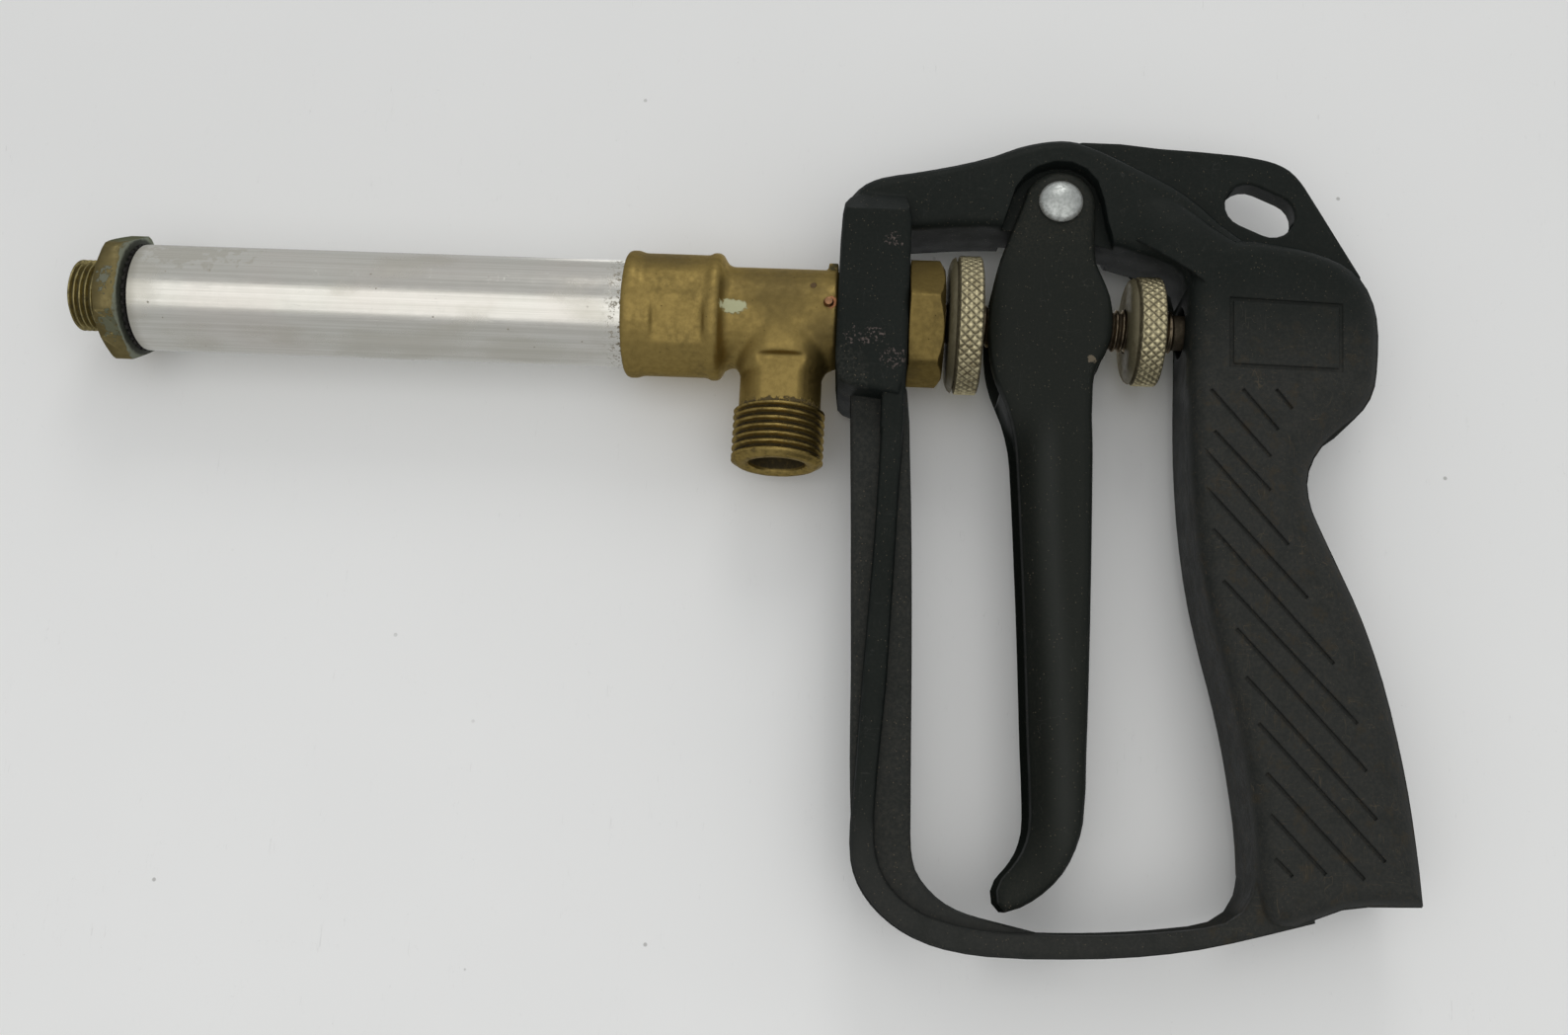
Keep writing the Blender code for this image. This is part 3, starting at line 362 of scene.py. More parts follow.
def brass_finish(name, clean, dark, marks, tarnish=(), corner=0.7, worn=1.5):
    """Cast brass with an orange-peel skin, brown patina in its corners and worn, brighter edges."""
    t = Tree(name)
    hollow = t.hollows(2.6)
    edge = t.edges(corner, hollow)
    broad = t.noise(0.11, 4.0, seed=6.0)
    mottle = t.noise(0.7, 5.0, seed=8.0, rough=0.6)
    grime = t.times(t.ramp(hollow, 0.2, 0.62), t.ramp(mottle, 0.28, 0.6, 0.35, 1.0))
    stain = t.times(t.ramp(broad, 0.45, 0.7), t.ramp(mottle, 0.2, 0.8), 0.7)
    pits = t.specks(0.8, 0.13, 0.52)
    colour = t.mix(t.ramp(mottle, 0.3, 0.7), clean, tuple(0.87 * c for c in clean))
    for centre, reach in tarnish:
        stain = t.most(stain, t.spot(centre, reach, 0.4, 0.3, 0.9))
    colour = t.mix(t.times(stain, 0.75), colour, dark)
    colour = t.mix(t.times(edge, t.ramp(mottle, 0.3, 0.6), 0.75), colour, tuple(worn * c for c in clean))
    colour = t.mix(t.times(grime, 0.85), colour, (0.045, 0.034, 0.016))
    colour = t.mix(t.times(pits, 0.7), colour, (0.060, 0.042, 0.018))
    metallic = t.math("SUBTRACT", 1.0, t.times(t.most(grime, t.times(stain, 0.4)), 0.75))
    crust = 0.0
    for tint, centre, reach, ragged in marks:
        patch = t.spot(centre, reach, ragged, 0.9)
        colour = t.mix(t.times(patch, 0.9), colour, tint)
        metallic = t.times(metallic, t.math("SUBTRACT", 1.0, t.times(patch, 0.9)))
        crust = t.most(patch, crust)
    roughness = t.ramp(mottle, 0.3, 0.7, 0.44, 0.56)
    roughness = t.math("ADD", roughness, t.times(t.most(grime, crust), 0.25))
    skin = t.math("ADD", t.noise(1.1, 3.0, seed=12.0), t.times(mottle, 0.3))
    normal = t.bump(skin, 0.07, t.rounded(0.5), 0.5)
    normal = t.bump(pits, -0.08, normal)
    normal = t.bump(crust, 0.14, normal)
    return t.done(colour, roughness, metallic, normal)


def valve_marks():
    """Verdigris, a copper tint round the pin, a brown pit, and dirt by the block and above the thread."""
    front, near = VALVE_LOW.x, -BARREL_R
    verdigris, copper, brown = (0.50, 0.51, 0.32), (0.50, 0.21, 0.10), (0.10, 0.06, 0.03)
    return [
        (verdigris, (front + 25.2, near, AXIS_Z - 1.6), (3.5, 4.0, 1.8), 0.6),
        (copper, (front + 47.4, near, AXIS_Z + 0.2), (1.5, 3.0, 1.6), 0.4),
        (brown, (front + 43.2, near + 1.0, AXIS_Z + 4.4), (0.8, 3.0, 0.8), 0.3),
        ((0.05, 0.045, 0.022), (BLOCK_X[0] - 1.0, 0.0, AXIS_Z + 12.0), (3.0, 6.0, 3.0), 0.6),
        ((0.07, 0.052, 0.024), (INLET_X, 0.0, AXIS_Z - 22.6), (14.0, 14.0, 1.5), 1.0),
    ]


def valve_tarnish():
    """Where the tee has gone dull: round its barrel, and the upper side of its socket."""
    front, near = VALVE_LOW.x, -BARREL_R
    return [
        ((front + 36.0, near, AXIS_Z + 3.0), (17.0, 14.0, 15.0)),
        ((front + 10.0, near, AXIS_Z + 11.0), (14.0, 12.0, 7.0)),
        ((BLOCK_X[0] - 3.0, near, AXIS_Z - 6.0), (9.0, 12.0, 9.0)),
    ]


def outlet_marks():
    """Green-grey patina over the adapter's upper side, a pale rim and then painted shade on its rear face."""
    green, pale, dark = (0.115, 0.125, 0.080), (0.20, 0.22, 0.17), (0.016, 0.018, 0.013)
    rear = box_mm("outlet_gasket")[0].x
    return [
        (green, (rear - 3.0, -4.0, AXIS_Z + 12.5), (6.0, 12.0, 4.0), 0.7),
        ((0.16, 0.17, 0.13), (rear - 3.4, -13.0, AXIS_Z - 0.5), (1.5, 6.0, 2.8), 1.9),
        (green, (rear - 2.5, -8.0, AXIS_Z - 10.0), (2.4, 6.0, 2.6), 2.0),
        (pale, (rear + 0.1, 0.0, AXIS_Z), (1.1, 60.0, 60.0), 0.5),
        # Painted shade: the hexagon's rear face darkened as if in shadow.
        (dark, (rear + 0.3, 0.0, AXIS_Z), (0.85, 60.0, 60.0), 0.1),
    ]


def lance_finish():
    """Drawn aluminium: fine lines along its length, small pits, and a crusty stain by the socket."""
    t = Tree("brushed_aluminium")
    lines = t.noise(1.0, 4.0, (0.012, 1.5, 1.5), 1.0, 0.65)
    broad = t.noise(0.05, 3.0, seed=2.0)
    cloudy = t.noise(0.35, 5.0, seed=3.0)
    pits = t.specks(0.28, 0.085, 0.46)
    blotches = t.times(t.spot((LANCE_LOW.x + 12.0, -9.0, AXIS_Z + 8.0), (14.0, 9.0, 5.0), 1.6, 0.5), 0.4)
    socket_x = VALVE_LOW.x
    near_socket = t.ramp(t.x, socket_x - 5.0, socket_x - 0.4)
    crust = t.times(near_socket, t.ramp(t.noise(1.1, 5.0, seed=19.0, rough=0.65), 0.53, 0.6))
    near_outlet = t.ramp(t.x, LANCE_LOW.x + 3.0, LANCE_LOW.x)
    smudge = t.times(t.ramp(t.noise(0.09, 4.0, (0.5, 1.0, 1.0), 23.0), 0.5, 0.7), 0.35)
    scratches = t.most(t.hairlines((0.05, 1.0, 1.0), 37.0), t.hairlines((1.0, 0.4, 0.4), 41.0, 0.003))
    colour = t.mix(t.ramp(lines, 0.3, 0.7), (0.665, 0.655, 0.594), (0.79, 0.775, 0.717))
    colour = t.mix(t.times(t.ramp(broad, 0.4, 0.7), 0.3), colour, (0.74, 0.675, 0.625))
    colour = t.mix(t.most(smudge, blotches), colour, (0.52, 0.49, 0.40))
    colour = t.mix(t.times(pits, 0.7), colour, (0.20, 0.17, 0.12))
    colour = t.mix(t.times(crust, 0.85), colour, (0.150, 0.118, 0.062))
    colour = t.mix(t.times(near_outlet, 0.5), colour, (0.30, 0.28, 0.22))
    roughness = t.math("ADD", t.ramp(cloudy, 0.3, 0.7, 0.19, 0.24), t.times(t.most(crust, smudge), 0.3))
    metallic = t.math("SUBTRACT", 1.0, t.times(t.most(crust, pits), 0.85))
    normal = t.bump(lines, 0.012, strength=0.6)
    normal = t.bump(t.most(pits, t.times(scratches, 0.4)), -0.012, normal)
    normal = t.bump(crust, 0.02, normal)
    return t.done(colour, roughness, metallic, normal, tint=(0.9, 0.9, 0.88))


def knurl_finish(name, node):
    """Plated wheel: warm and worn on the knurl's crests, dark grease in its valleys."""
    t = Tree(name)
    low, high = box_mm(node)
    rim_r = (high.z - low.z) / 2
    from_axis = t.radius("X", (0.0, AXIS_Z))
    crest = t.ramp(from_axis, rim_r - 0.36, rim_r - 0.06)
    on_rim = t.times(t.ramp(from_axis, rim_r - 1.5, rim_r - 1.2), t.ramp(t.x, low.x + 1.6, low.x + 2.1))
    mottle = t.noise(0.9, 5.0, seed=low.x, rough=0.6)
    broad = t.noise(0.16, 3.0, seed=2.0)
    greasy = t.times(on_rim, t.math("SUBTRACT", 1.0, crest), t.ramp(mottle, 0.25, 0.55, 0.6, 1.0))
    groove_band = t.between(t.x, low.x + 1.5, low.x + 1.9, 0.2)
    in_groove = t.times(groove_band, t.ramp(from_axis, rim_r - 2.2, rim_r - 1.6))
    dirt = t.most(greasy, in_groove)
    rust = t.times(t.ramp(broad, 0.5, 0.68), t.ramp(mottle, 0.42, 0.64))
    on_flange = t.ramp(t.x, low.x + 1.7, low.x + 1.3)
    colour = t.mix(t.ramp(mottle, 0.3, 0.7), (0.60, 0.535, 0.335), (0.44, 0.39, 0.24))
    colour = t.mix(t.times(rust, 0.5), colour, (0.16, 0.115, 0.055))
    colour = t.mix(t.times(on_flange, 0.85), colour, (0.060, 0.052, 0.030))
    colour = t.mix(t.times(dirt, 0.92), colour, (0.036, 0.029, 0.018))
    metallic = t.math("SUBTRACT", 1.0, t.times(t.most(dirt, t.times(on_flange, 0.9)), 0.85))
    roughness = t.math("ADD", t.ramp(mottle, 0.3, 0.7, 0.3, 0.46), t.times(dirt, 0.25))
    normal = t.bump(mottle, 0.05, t.rounded(0.15), 0.6)
    return t.done(colour, roughness, metallic, normal)


def turned_metal(name, clean, dark, radius=None, centre=(0.0, AXIS_Z), axis="X", mouth=None):
    """Turned metal with lathe lines. Given a crest radius, the thread's roots below it hold dirt.

    The mouth says between which two places along the axis the dirt fades in.
    """
    t = Tree(name)
    mottle = t.noise(0.8, 5.0, seed=len(name), rough=0.6)
    along = {"X": (6.0, 0.15, 0.15), "Z": (0.15, 0.15, 6.0)}[axis]
    lines = t.noise(1.0, 2.0, along, 4.0)
    colour = t.mix(t.ramp(mottle, 0.35, 0.65), clean, tuple(0.7 * c for c in clean))
    dirt = t.times(t.ramp(mottle, 0.55, 0.7), 0.5)
    if radius is not None:
        from_axis = t.radius(axis, centre)
        roots = t.times(t.ramp(from_axis, radius - 0.45, radius - 1.0), t.ramp(mottle, 0.2, 0.5, 0.6, 0.9))
        if mouth is not None:
            roots = t.times(roots, t.ramp({"X": t.x, "Z": t.z}[axis], *mouth))
        dirt = t.most(dirt, roots)
    colour = t.mix(dirt, colour, dark)
    metallic = t.math("SUBTRACT", 1.0, t.times(dirt, 0.7))
    rough = t.math("ADD", t.ramp(mottle, 0.3, 0.7, 0.32, 0.46), t.times(dirt, 0.2))
    normal = t.bump(t.math("ADD", lines, t.times(mottle, 0.8)), 0.04, t.rounded(0.2), 0.5)
    return t.done(colour, rough, metallic, normal)


def rivet_finish():
    """Pale satin steel, with fine criss-cross scratches and dust at its rim."""
    t = Tree("rivet_steel")
    centre = middle("pivot_rivet")
    rim_r = (box_mm("pivot_rivet")[1].x - box_mm("pivot_rivet")[0].x) / 2
    from_axis = t.radius("Y", (centre.x, centre.z))
    mottle = t.noise(1.3, 5.0, seed=3.0)
    scratches = t.most(t.hairlines((0.2, 1.0, 1.4), 51.0, 0.02), t.hairlines((1.4, 1.0, 0.2), 61.0, 0.02))
    rim_dirt = t.times(t.ramp(from_axis, rim_r - 0.9, rim_r), t.ramp(mottle, 0.35, 0.6, 0.3, 1.0))
    colour = t.mix(t.ramp(mottle, 0.35, 0.65), (0.51, 0.53, 0.51), (0.40, 0.42, 0.40))
    colour = t.mix(t.times(rim_dirt, 0.7), colour, (0.10, 0.09, 0.07))
    metallic = t.math("SUBTRACT", 1.0, t.times(rim_dirt, 0.6))
    roughness = t.math("ADD", t.ramp(mottle, 0.3, 0.7, 0.36, 0.48), t.times(scratches, 0.1))
    normal = t.bump(t.math("SUBTRACT", mottle, t.times(scratches, 0.8)), 0.06, strength=0.6)
    return t.done(colour, roughness, metallic, normal)


def soft_finish(name, colour_low, colour_high, roughness):
    """Rubber or packing: a mottled, matte surface with a fine grain."""
    t = Tree(name)
    mottle = t.noise(1.2, 5.0, seed=5.0)
    colour = t.mix(t.ramp(mottle, 0.3, 0.7), colour_low, colour_high)
    rough = t.ramp(mottle, 0.3, 0.7, roughness - 0.08, roughness + 0.08)
    return t.done(colour, rough, 0.0, t.bump(t.noise(4.0, 3.0), 0.06, strength=0.6), 0.35)


# ---- finer pieces ----------------------------------------------------------------------------


def linked(name, bm, body="gun_body"):
    """Links the bmesh as a smooth piece that rides on this CAD body."""
    bmesh.ops.recalc_face_normals(bm, faces=bm.faces)
    mesh = bpy.data.meshes.new(name)
    bm.to_mesh(mesh)
    bm.free()
    mesh.shade_smooth()
    mesh.set_sharp_from_angle(angle=PIECE_SHARP)
    obj = bpy.data.objects.new(name, mesh)
    bpy.context.scene.collection.objects.link(obj)
    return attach(obj, body)


def dressed(obj, look):
    """Gives the piece its finish."""
    obj.data.materials.clear()
    obj.data.materials.append(look)
    return obj


def turned(name, profile, sides, lift, axis="X", centre=(0.0, AXIS_Z), body="gun_body", capped=False):
    """Sweeps (along, radius) points round an axis, and adds lift(along, radius, turn) to each radius.

    Turn goes from 0 to 1 round the axis. The profile closes on itself, unless its two ends are capped.
    """
    bm = bmesh.new()
    rings = []
    for along, radius in profile:
        ring = []
        for k in range(sides):
            reach = radius + lift(along, radius, k / sides)
            angle = math.tau * k / sides
            u = centre[0] + reach * math.cos(angle)
            v = centre[1] + reach * math.sin(angle)
            point = (along, u, v) if axis == "X" else (u, v, along)
            ring.append(bm.verts.new(Vector(point) * MM))
        rings.append(ring)
    followers = rings[1:] + ([] if capped else rings[:1])
    for ring, after in zip(rings, followers):
        for k in range(sides):
            j = (k + 1) % sides
            bm.faces.new((ring[k], ring[j], after[j], after[k]))
    if capped:
        bm.faces.new(rings[0])
        bm.faces.new(rings[-1])
    return linked(name, bm, body)


def evenly(start, end, step):
    """Numbers from start to end, about this far apart."""
    count = max(2, round(abs(end - start) / step) + 1)
    return [start + (end - start) * k / (count - 1) for k in range(count)]


def saw(value):
    """0 at whole numbers and 1 half-way between them."""
    return 1.0 - abs(2.0 * (value % 1.0) - 1.0)


def thread_lift(start, end, crest, pitch, depth):
    """A helical thread on the stretch from start to end, running out over half a turn at both ends."""
    flank, root_flat = 1.45, 0.12

    def lift(along, radius, turn):
        inside = min(along - start, end - along) / (0.5 * pitch)
        if inside <= 0 or radius < crest - ON_CREST:
            return 0.0
        shape = min(1.0, max(0.0, flank * saw(along / pitch + turn) - root_flat))
        return -depth * (1.0 - shape) * min(1.0, inside)

    return lift


def knurled_wheel(node, diamonds, look):
    """The wheel with a diamond knurl cut into its rim."""
    low, high = box_mm(node)
    rim_r = (high.z - low.z) / 2
    hole = box_mm("valve_rod")[1].z - AXIS_Z + ROD_GAP
    front, rear = low.x, high.x
    width = rear - front
    flange, rim = front + 0.19 * width, front + 0.24 * width
    depth, steepness, dish = 0.36, 1.9, 0.35
    pitch = math.tau * rim_r / diamonds
    profile = [(front, hole), (front, rim_r - 2.4), (front + 0.25, rim_r - 1.6), (front + 0.7, rim_r - 0.8)]
    profile += [(flange - 0.1, rim_r - 0.35), (flange, rim_r - 0.5), (flange + 0.15, rim_r - 1.5)]
    profile += [(rim, rim_r - 1.5), (rim + 0.25, rim_r - 0.35)]
    knurl_low, knurl_high = rim + 0.5, rear - 0.5
    profile += [(along, rim_r) for along in evenly(knurl_low, knurl_high, 0.18)]
    profile += [(rear - 0.2, rim_r - 0.45), (rear, rim_r - 1.3), (rear, rim_r - 3.0)]
    profile += [(rear - dish, rim_r - 3.6), (rear - dish, hole + 1.4)]
    profile += [(rear, hole + 1.0), (rear, hole + 0.3), (rear - 0.3, hole)]

    def lift(along, radius, turn):
        if radius < rim_r - ON_CREST:
            return 0.0
        u, v = diamonds * turn, (along - knurl_low) / pitch
        height = min(saw(u + v), saw(u - v))
        return -depth * (1.0 - min(1.0, steepness * height))

    made = turned(f"{node}_knurled", profile, diamonds * SIDES_PER_DIAMOND, lift, body=node)
    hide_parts(node)
    return dressed(made, look)


def threaded_rod(look):
    """The valve rod, with a helical thread where the two wheels run."""
    low, high = box_mm("valve_rod")
    crest, pitch, depth, shank_r = (high.z - low.z) / 2, 1.5, 0.8, 4.0
    thread_low, thread_high = low.x + 42.8, high.x - 10.6
    profile = [(low.x, 2.2), (low.x + 1.4, 2.6), (low.x + 1.4, 3.0), (low.x + 6.3, 3.0)]
    profile += [(low.x + 6.3, shank_r), (low.x + 42.0, shank_r)]
    profile += [(along, crest) for along in evenly(thread_low, thread_high, 0.15)]
    profile += [(thread_high + 0.6, shank_r), (high.x - 0.6, shank_r), (high.x - 0.2, 3.75), (high.x, 3.2)]
    lift = thread_lift(thread_low, thread_high, crest, pitch, depth)
    made = turned("valve_rod_threaded", profile, 48, lift, body="valve_rod", capped=True)
    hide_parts("valve_rod")
    return dressed(made, look)


def inlet_thread(look):
    """The branch's lower end: a helical thread, a chamfered mouth and its bore."""
    crest, pitch, depth, bore = 10.48, 1.814, 1.16, 6.4
    neck, hidden_r = 9.4, 8.0
    top, low = AXIS_Z - 20.0, VALVE_LOW.z
    thread_top, thread_low = AXIS_Z - 23.0, low + 0.9
    profile = [(top, bore), (top, hidden_r), (thread_top + 0.25, hidden_r), (thread_top + 0.2, neck)]
    profile += [(along, crest) for along in evenly(thread_top, thread_low, 0.15)]
    profile += [(low + 0.5, crest - 0.9), (low + 0.12, 9.25), (low, 8.9)]
    profile += [(low, bore + 0.8), (low + 0.5, bore + 0.15), (low + 1.2, bore)]
    lift = thread_lift(thread_low, thread_top, crest, pitch, depth)
    made = turned("inlet_thread", profile, 72, lift, "Z", (INLET_X, 0.0))
    return dressed(made, look)


def outlet_thread(look):
    """The outlet's nose: a helical thread with a chamfered mouth."""
    front = OUTLET_LOW.x
    crest, pitch, depth, bore, root_r = 8.33, 1.337, 0.86, 4.9, 7.3
    hex_front = front + 8.9
    thread_low, thread_high = front + 0.75, hex_front - 0.5
    profile = [(hex_front + 1.5, bore), (front + 0.7, bore), (front, bore + 0.6)]
    profile += [(front, 7.0), (front + 0.5, 7.4)]
    profile += [(along, crest) for along in evenly(thread_low, thread_high, 0.12)]
    profile += [(hex_front - 0.3, root_r), (hex_front + 1.5, root_r)]
    lift = thread_lift(thread_low, thread_high, crest, pitch, depth)
    made = turned("outlet_thread", profile, 64, lift)
    return dressed(made, look)


def cut_copy(name, node, low, high):
    """A closed copy of a CAD node with everything inside this box cut away."""
    bm = bmesh.new()
    bm.from_mesh(frame["nodes"][node].data)
    bmesh.ops.remove_doubles(bm, verts=bm.verts, dist=WELD)
    base = linked(name, bm)
    bm = bmesh.new()
    bmesh.ops.create_cube(bm, size=1.0)
    size = Matrix.Diagonal((*((high - low) * MM), 1.0))
    bmesh.ops.transform(bm, verts=bm.verts, matrix=Matrix.Translation((low + high) / 2 * MM) @ size)
    cutter = linked(name + "_cutter", bm)
    modifier = base.modifiers.new("cut", "BOOLEAN")
    modifier.operation = "DIFFERENCE"
    modifier.solver = "EXACT"
    modifier.object = cutter
    settle(base)
    bpy.data.objects.remove(cutter, do_unlink=True)
    return base


def settle(obj):
    """Applies the object's modifiers to its mesh."""
    bpy.context.view_layer.update()
    graph = bpy.context.evaluated_depsgraph_get()
    mesh = bpy.data.meshes.new_from_object(obj.evaluated_get(graph))
    obj.modifiers.clear()
    obj.data = mesh


def remeshed(obj, voxel):
    modifier = obj.modifiers.new("even", "REMESH")
    modifier.mode = "VOXEL"
    modifier.voxel_size = voxel * MM
    modifier.use_smooth_shade = True
    settle(obj)


def relaxed(obj, rounds, chosen):
    """Smooths the vertices for which chosen(point in millimetres) is true."""
    bm = bmesh.new()
    bm.from_mesh(obj.data)
    picked = [v for v in bm.verts if chosen(v.co / MM)]
    for _ in range(rounds):
        bmesh.ops.smooth_vert(bm, verts=picked, factor=0.5, use_axis_x=True, use_axis_y=True, use_axis_z=True)
    bm.to_mesh(obj.data)
    bm.free()
    obj.data.shade_smooth()


def valve_casting(look):
    """The tee as one casting, with soft blends where its branch and its lug leave the barrel."""
    thread_top, reach, voxel = AXIS_Z - 22.85, 20.0, 0.4
    blend, flat_ends, socket_r = 2.6, (6.8, 18.8), 12.95
    low = Vector((INLET_X - reach, -reach, VALVE_LOW.z - 5.0))
    high = Vector((INLET_X + reach, reach, thread_top))
    made = cut_copy("valve_casting", "valve_body", low, high)
    remeshed(made, voxel)

    def near_branch_root(point):
        from_branch = math.hypot(point.x - INLET_X, point.y) - BRANCH_R
        from_barrel = math.hypot(point.y, point.z - AXIS_Z) - BARREL_R
        return abs(from_branch) < blend and abs(from_barrel) < blend and point.z < AXIS_Z

    def on_outside(point):
        return math.hypot(point.y, point.z - AXIS_Z) > BARREL_R - 1.2

    def near_flat_end(point):
        along = min(abs(point.x - VALVE_LOW.x - place) for place in flat_ends)
        return along < 1.3 and point.y < -8.0 and math.hypot(point.y, point.z - AXIS_Z) > socket_r

    def near_pad_top(point):
        return abs(point.z - AXIS_Z + 11.4) < 1.6 and abs(point.x - INLET_X) < 6.5 and abs(point.y) > 7.9

    relaxed(made, 26, near_branch_root)
    relaxed(made, 8, near_flat_end)
    relaxed(made, 5, near_pad_top)
    relaxed(made, 2, on_outside)
    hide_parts("valve_body")
    return dressed(made, look)


def outlet_hexagon(look):
    """The outlet adapter's hexagon and spigot, without its threaded nose."""
    front, reach, nose_length = OUTLET_LOW.x, 20.0, 8.88
    low = Vector((front - 5.0, -reach, AXIS_Z - reach))
    high = Vector((front + nose_length, reach, AXIS_Z + reach))
    made = cut_copy("outlet_hexagon", "outlet_adapter", low, high)
    made.data.shade_smooth()
    made.data.set_sharp_from_angle(angle=HEXAGON_SHARP)
    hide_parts("outlet_adapter")
    return dressed(made, look)


def toothed_gasket(look):
    """The sealing ring between the adapter and the lance, with small notches round its rim."""
    low, high = box_mm("outlet_gasket")
    rim_r = (high.z - low.z) / 2
    notches, notch_depth, notch_share = 40, 0.55, 0.6
    profile = [(low.x, rim_r - 1.8), (low.x, rim_r - 0.3), (low.x + 0.15, rim_r), (high.x - 0.15, rim_r)]
    profile += [(high.x, rim_r - 0.3), (high.x, rim_r - 1.8)]

    def lift(_along, radius, turn):
        if radius < rim_r - 0.5:
            return 0.0
        return -notch_depth if saw(notches * turn) > notch_share else 0.0

    made = turned("outlet_gasket_toothed", profile, notches * 10, lift)
    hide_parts("outlet_gasket")
    return dressed(made, look)


def return_coil(look):
    """The spring, copied from its CAD node; the real one shortens as the rod draws the valve head towards its
    washer.
    """
    bm = bmesh.new()
    bm.from_mesh(frame["nodes"]["return_spring"].data)
    bmesh.ops.remove_doubles(bm, verts=bm.verts, dist=WELD)
    made = linked("return_coil", bm)
    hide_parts("return_spring")
    dressed(made, look)
    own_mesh(made)


# ---- stage, light and camera -----------------------------------------------------------------


def backdrop_look(name, colour, fade_low, fade_high):
    """Matte and pale, with painted shade making it darker towards the top, seen from its front side only, and
    fading out where it is seen edge-on.
    """
    t = Tree(name)
    upper, cloud = tuple(0.92 * c for c in colour), tuple(0.95 * c for c in colour)
    # Painted shade: the sheet's colour darkens towards the top, standing in for the light's falloff.
    shade = t.mix(t.ramp(t.z, CAD_LOW.z / MM, CAD_HIGH.z / MM + 30.0), colour, upper)
    shade = t.mix(t.times(t.ramp(t.noise(0.02, 3.0), 0.3, 0.7), 0.3), shade, cloud)
    dust = t.most(t.specks(0.06, 0.035, 0.45), t.times(t.hairlines((1.0, 1.0, 0.1), 71.0, 0.002), 0.25))
    shade = t.mix(t.times(dust, 0.5), shade, (0.22, 0.21, 0.19))
    t.done(shade, 0.9, 0.0, t.bump(t.noise(0.6, 2.0), 0.02, strength=0.2), 0.1)
    geometry = t.node("NewGeometry")
    across = t.vector("DOT_PRODUCT", geometry.outputs["Normal"], geometry.outputs["Incoming"])
    facing = t.math("ABSOLUTE", across)
    front = t.math("SUBTRACT", 1.0, geometry.outputs["Backfacing"])
    shown = t.times(t.ramp(facing, fade_low, fade_high), front)
    clear = t.node("BsdfTransparent").outputs[0]
    blend = t.node("MixShader")
    t.plug(blend.inputs[0], shown)
    t.links.new(clear, blend.inputs[1])
    t.links.new(t.shader.outputs[0], blend.inputs[2])
    t.links.new(blend.outputs[0], t.nodes["Material Output"].inputs["Surface"])
    return t.material


def sheet(name, corners, look):
    """A large plane that only the camera sees, so that it takes shadows but casts no light or shade."""
    mesh = bpy.data.meshes.new(name)
    mesh.from_pydata(corners, [], [(0, 1, 2, 3)])
    mesh.materials.append(look)
    obj = bpy.data.objects.new(name, mesh)
    bpy.context.scene.collection.objects.link(obj)
    obj.visible_diffuse = False
    obj.visible_glossy = False
    obj.visible_transmission = False
    obj.visible_shadow = False


def make_stage():
    """A pale table top just behind the gun, as it lies in front of the camera, and a pale floor under it."""
    far = 4.0
    pale = (0.945, 0.950, 0.940)
    wall_y = CAD_HIGH.y + 0.1 * MM
    floor_z = CAD_LOW.z
    table = backdrop_look("table_top", pale, 0.16, 0.42)
    floor = backdrop_look("pale_floor", pale, 0.10, 0.20)
    corners = ((-far, -far), (far, -far), (far, far), (-far, far))
    sheet("table_top", [(x, wall_y, z) for x, z in corners], table)
    sheet("floor", [(x, y, floor_z) for x, y in corners], floor)


def area_light(name, direction, distance, size, watts, colour):
    """A rectangular soft light that shines on the middle of the gun from this direction."""
    centre = (CAD_LOW + CAD_HIGH) / 2
    toward = Vector(direction).normalized()
    data = bpy.data.lights.new(name, "AREA")
    data.shape = "RECTANGLE"
    data.size, data.size_y = size
    data.energy = watts
    data.color = colour
    obj = bpy.data.objects.new(name, data)
    obj.location = centre + toward * distance
    obj.rotation_mode = "QUATERNION"
    obj.rotation_quaternion = toward.to_track_quat("Z", "Y")
    bpy.context.scene.collection.objects.link(obj)


def make_lights():
    """A wide key light in front, a small one above it, and a fill behind. Directions are from the gun."""
    warm, faintly_warm, white = (1.0, 0.985, 0.965), (1.0, 0.99, 0.98), (1.0, 1.0, 1.0)
    area_light("key", (0.05, -1.0, -0.2), 1.1, size=(1.7, 1.15), watts=4.0, colour=warm)
    area_light("top", (0.1, -0.75, 1.0), 1.1, size=(0.35, 0.35), watts=1.25, colour=faintly_warm)
    area_light("rear_fill", (0.3, 1.0, 0.7), 1.2, size=(1.1, 1.1), watts=2.4, colour=white)


def make_world():
    """Soft light from all round, brighter above than below. The camera itself sees an even pale grey."""
    world = bpy.data.worlds.new("soft_studio")
    world.use_nodes = True
    nodes, links = world.node_tree.nodes, world.node_tree.links
    background = nodes["Background"]
    light = nodes.new("ShaderNodeTexCoord")
    split = nodes.new("ShaderNodeSeparateXYZ")
    links.new(light.outputs["Generated"], split.inputs[0])
    height = nodes.new("ShaderNodeMapRange")
    height.interpolation_type = "SMOOTHSTEP"
    for socket, number in zip(list(height.inputs)[1:5], (-0.8, 0.9, 0.49, 0.54)):
        socket.default_value = number
    links.new(split.outputs["Z"], height.inputs[0])
    links.new(height.outputs[0], background.inputs["Strength"])
    background.inputs["Color"].default_value = (0.98, 0.99, 1.0, 1.0)
    seen = nodes.new("ShaderNodeBackground")
    seen.inputs["Color"].default_value = (0.66, 0.66, 0.66, 1.0)
    mixer = nodes.new("ShaderNodeMixShader")
    path = nodes.new("ShaderNodeLightPath")
    links.new(path.outputs["Is Camera Ray"], mixer.inputs[0])
    links.new(background.outputs[0], mixer.inputs[1])
    links.new(seen.outputs[0], mixer.inputs[2])
    links.new(mixer.outputs[0], nodes["World Output"].inputs["Surface"])
    bpy.context.scene.world = world


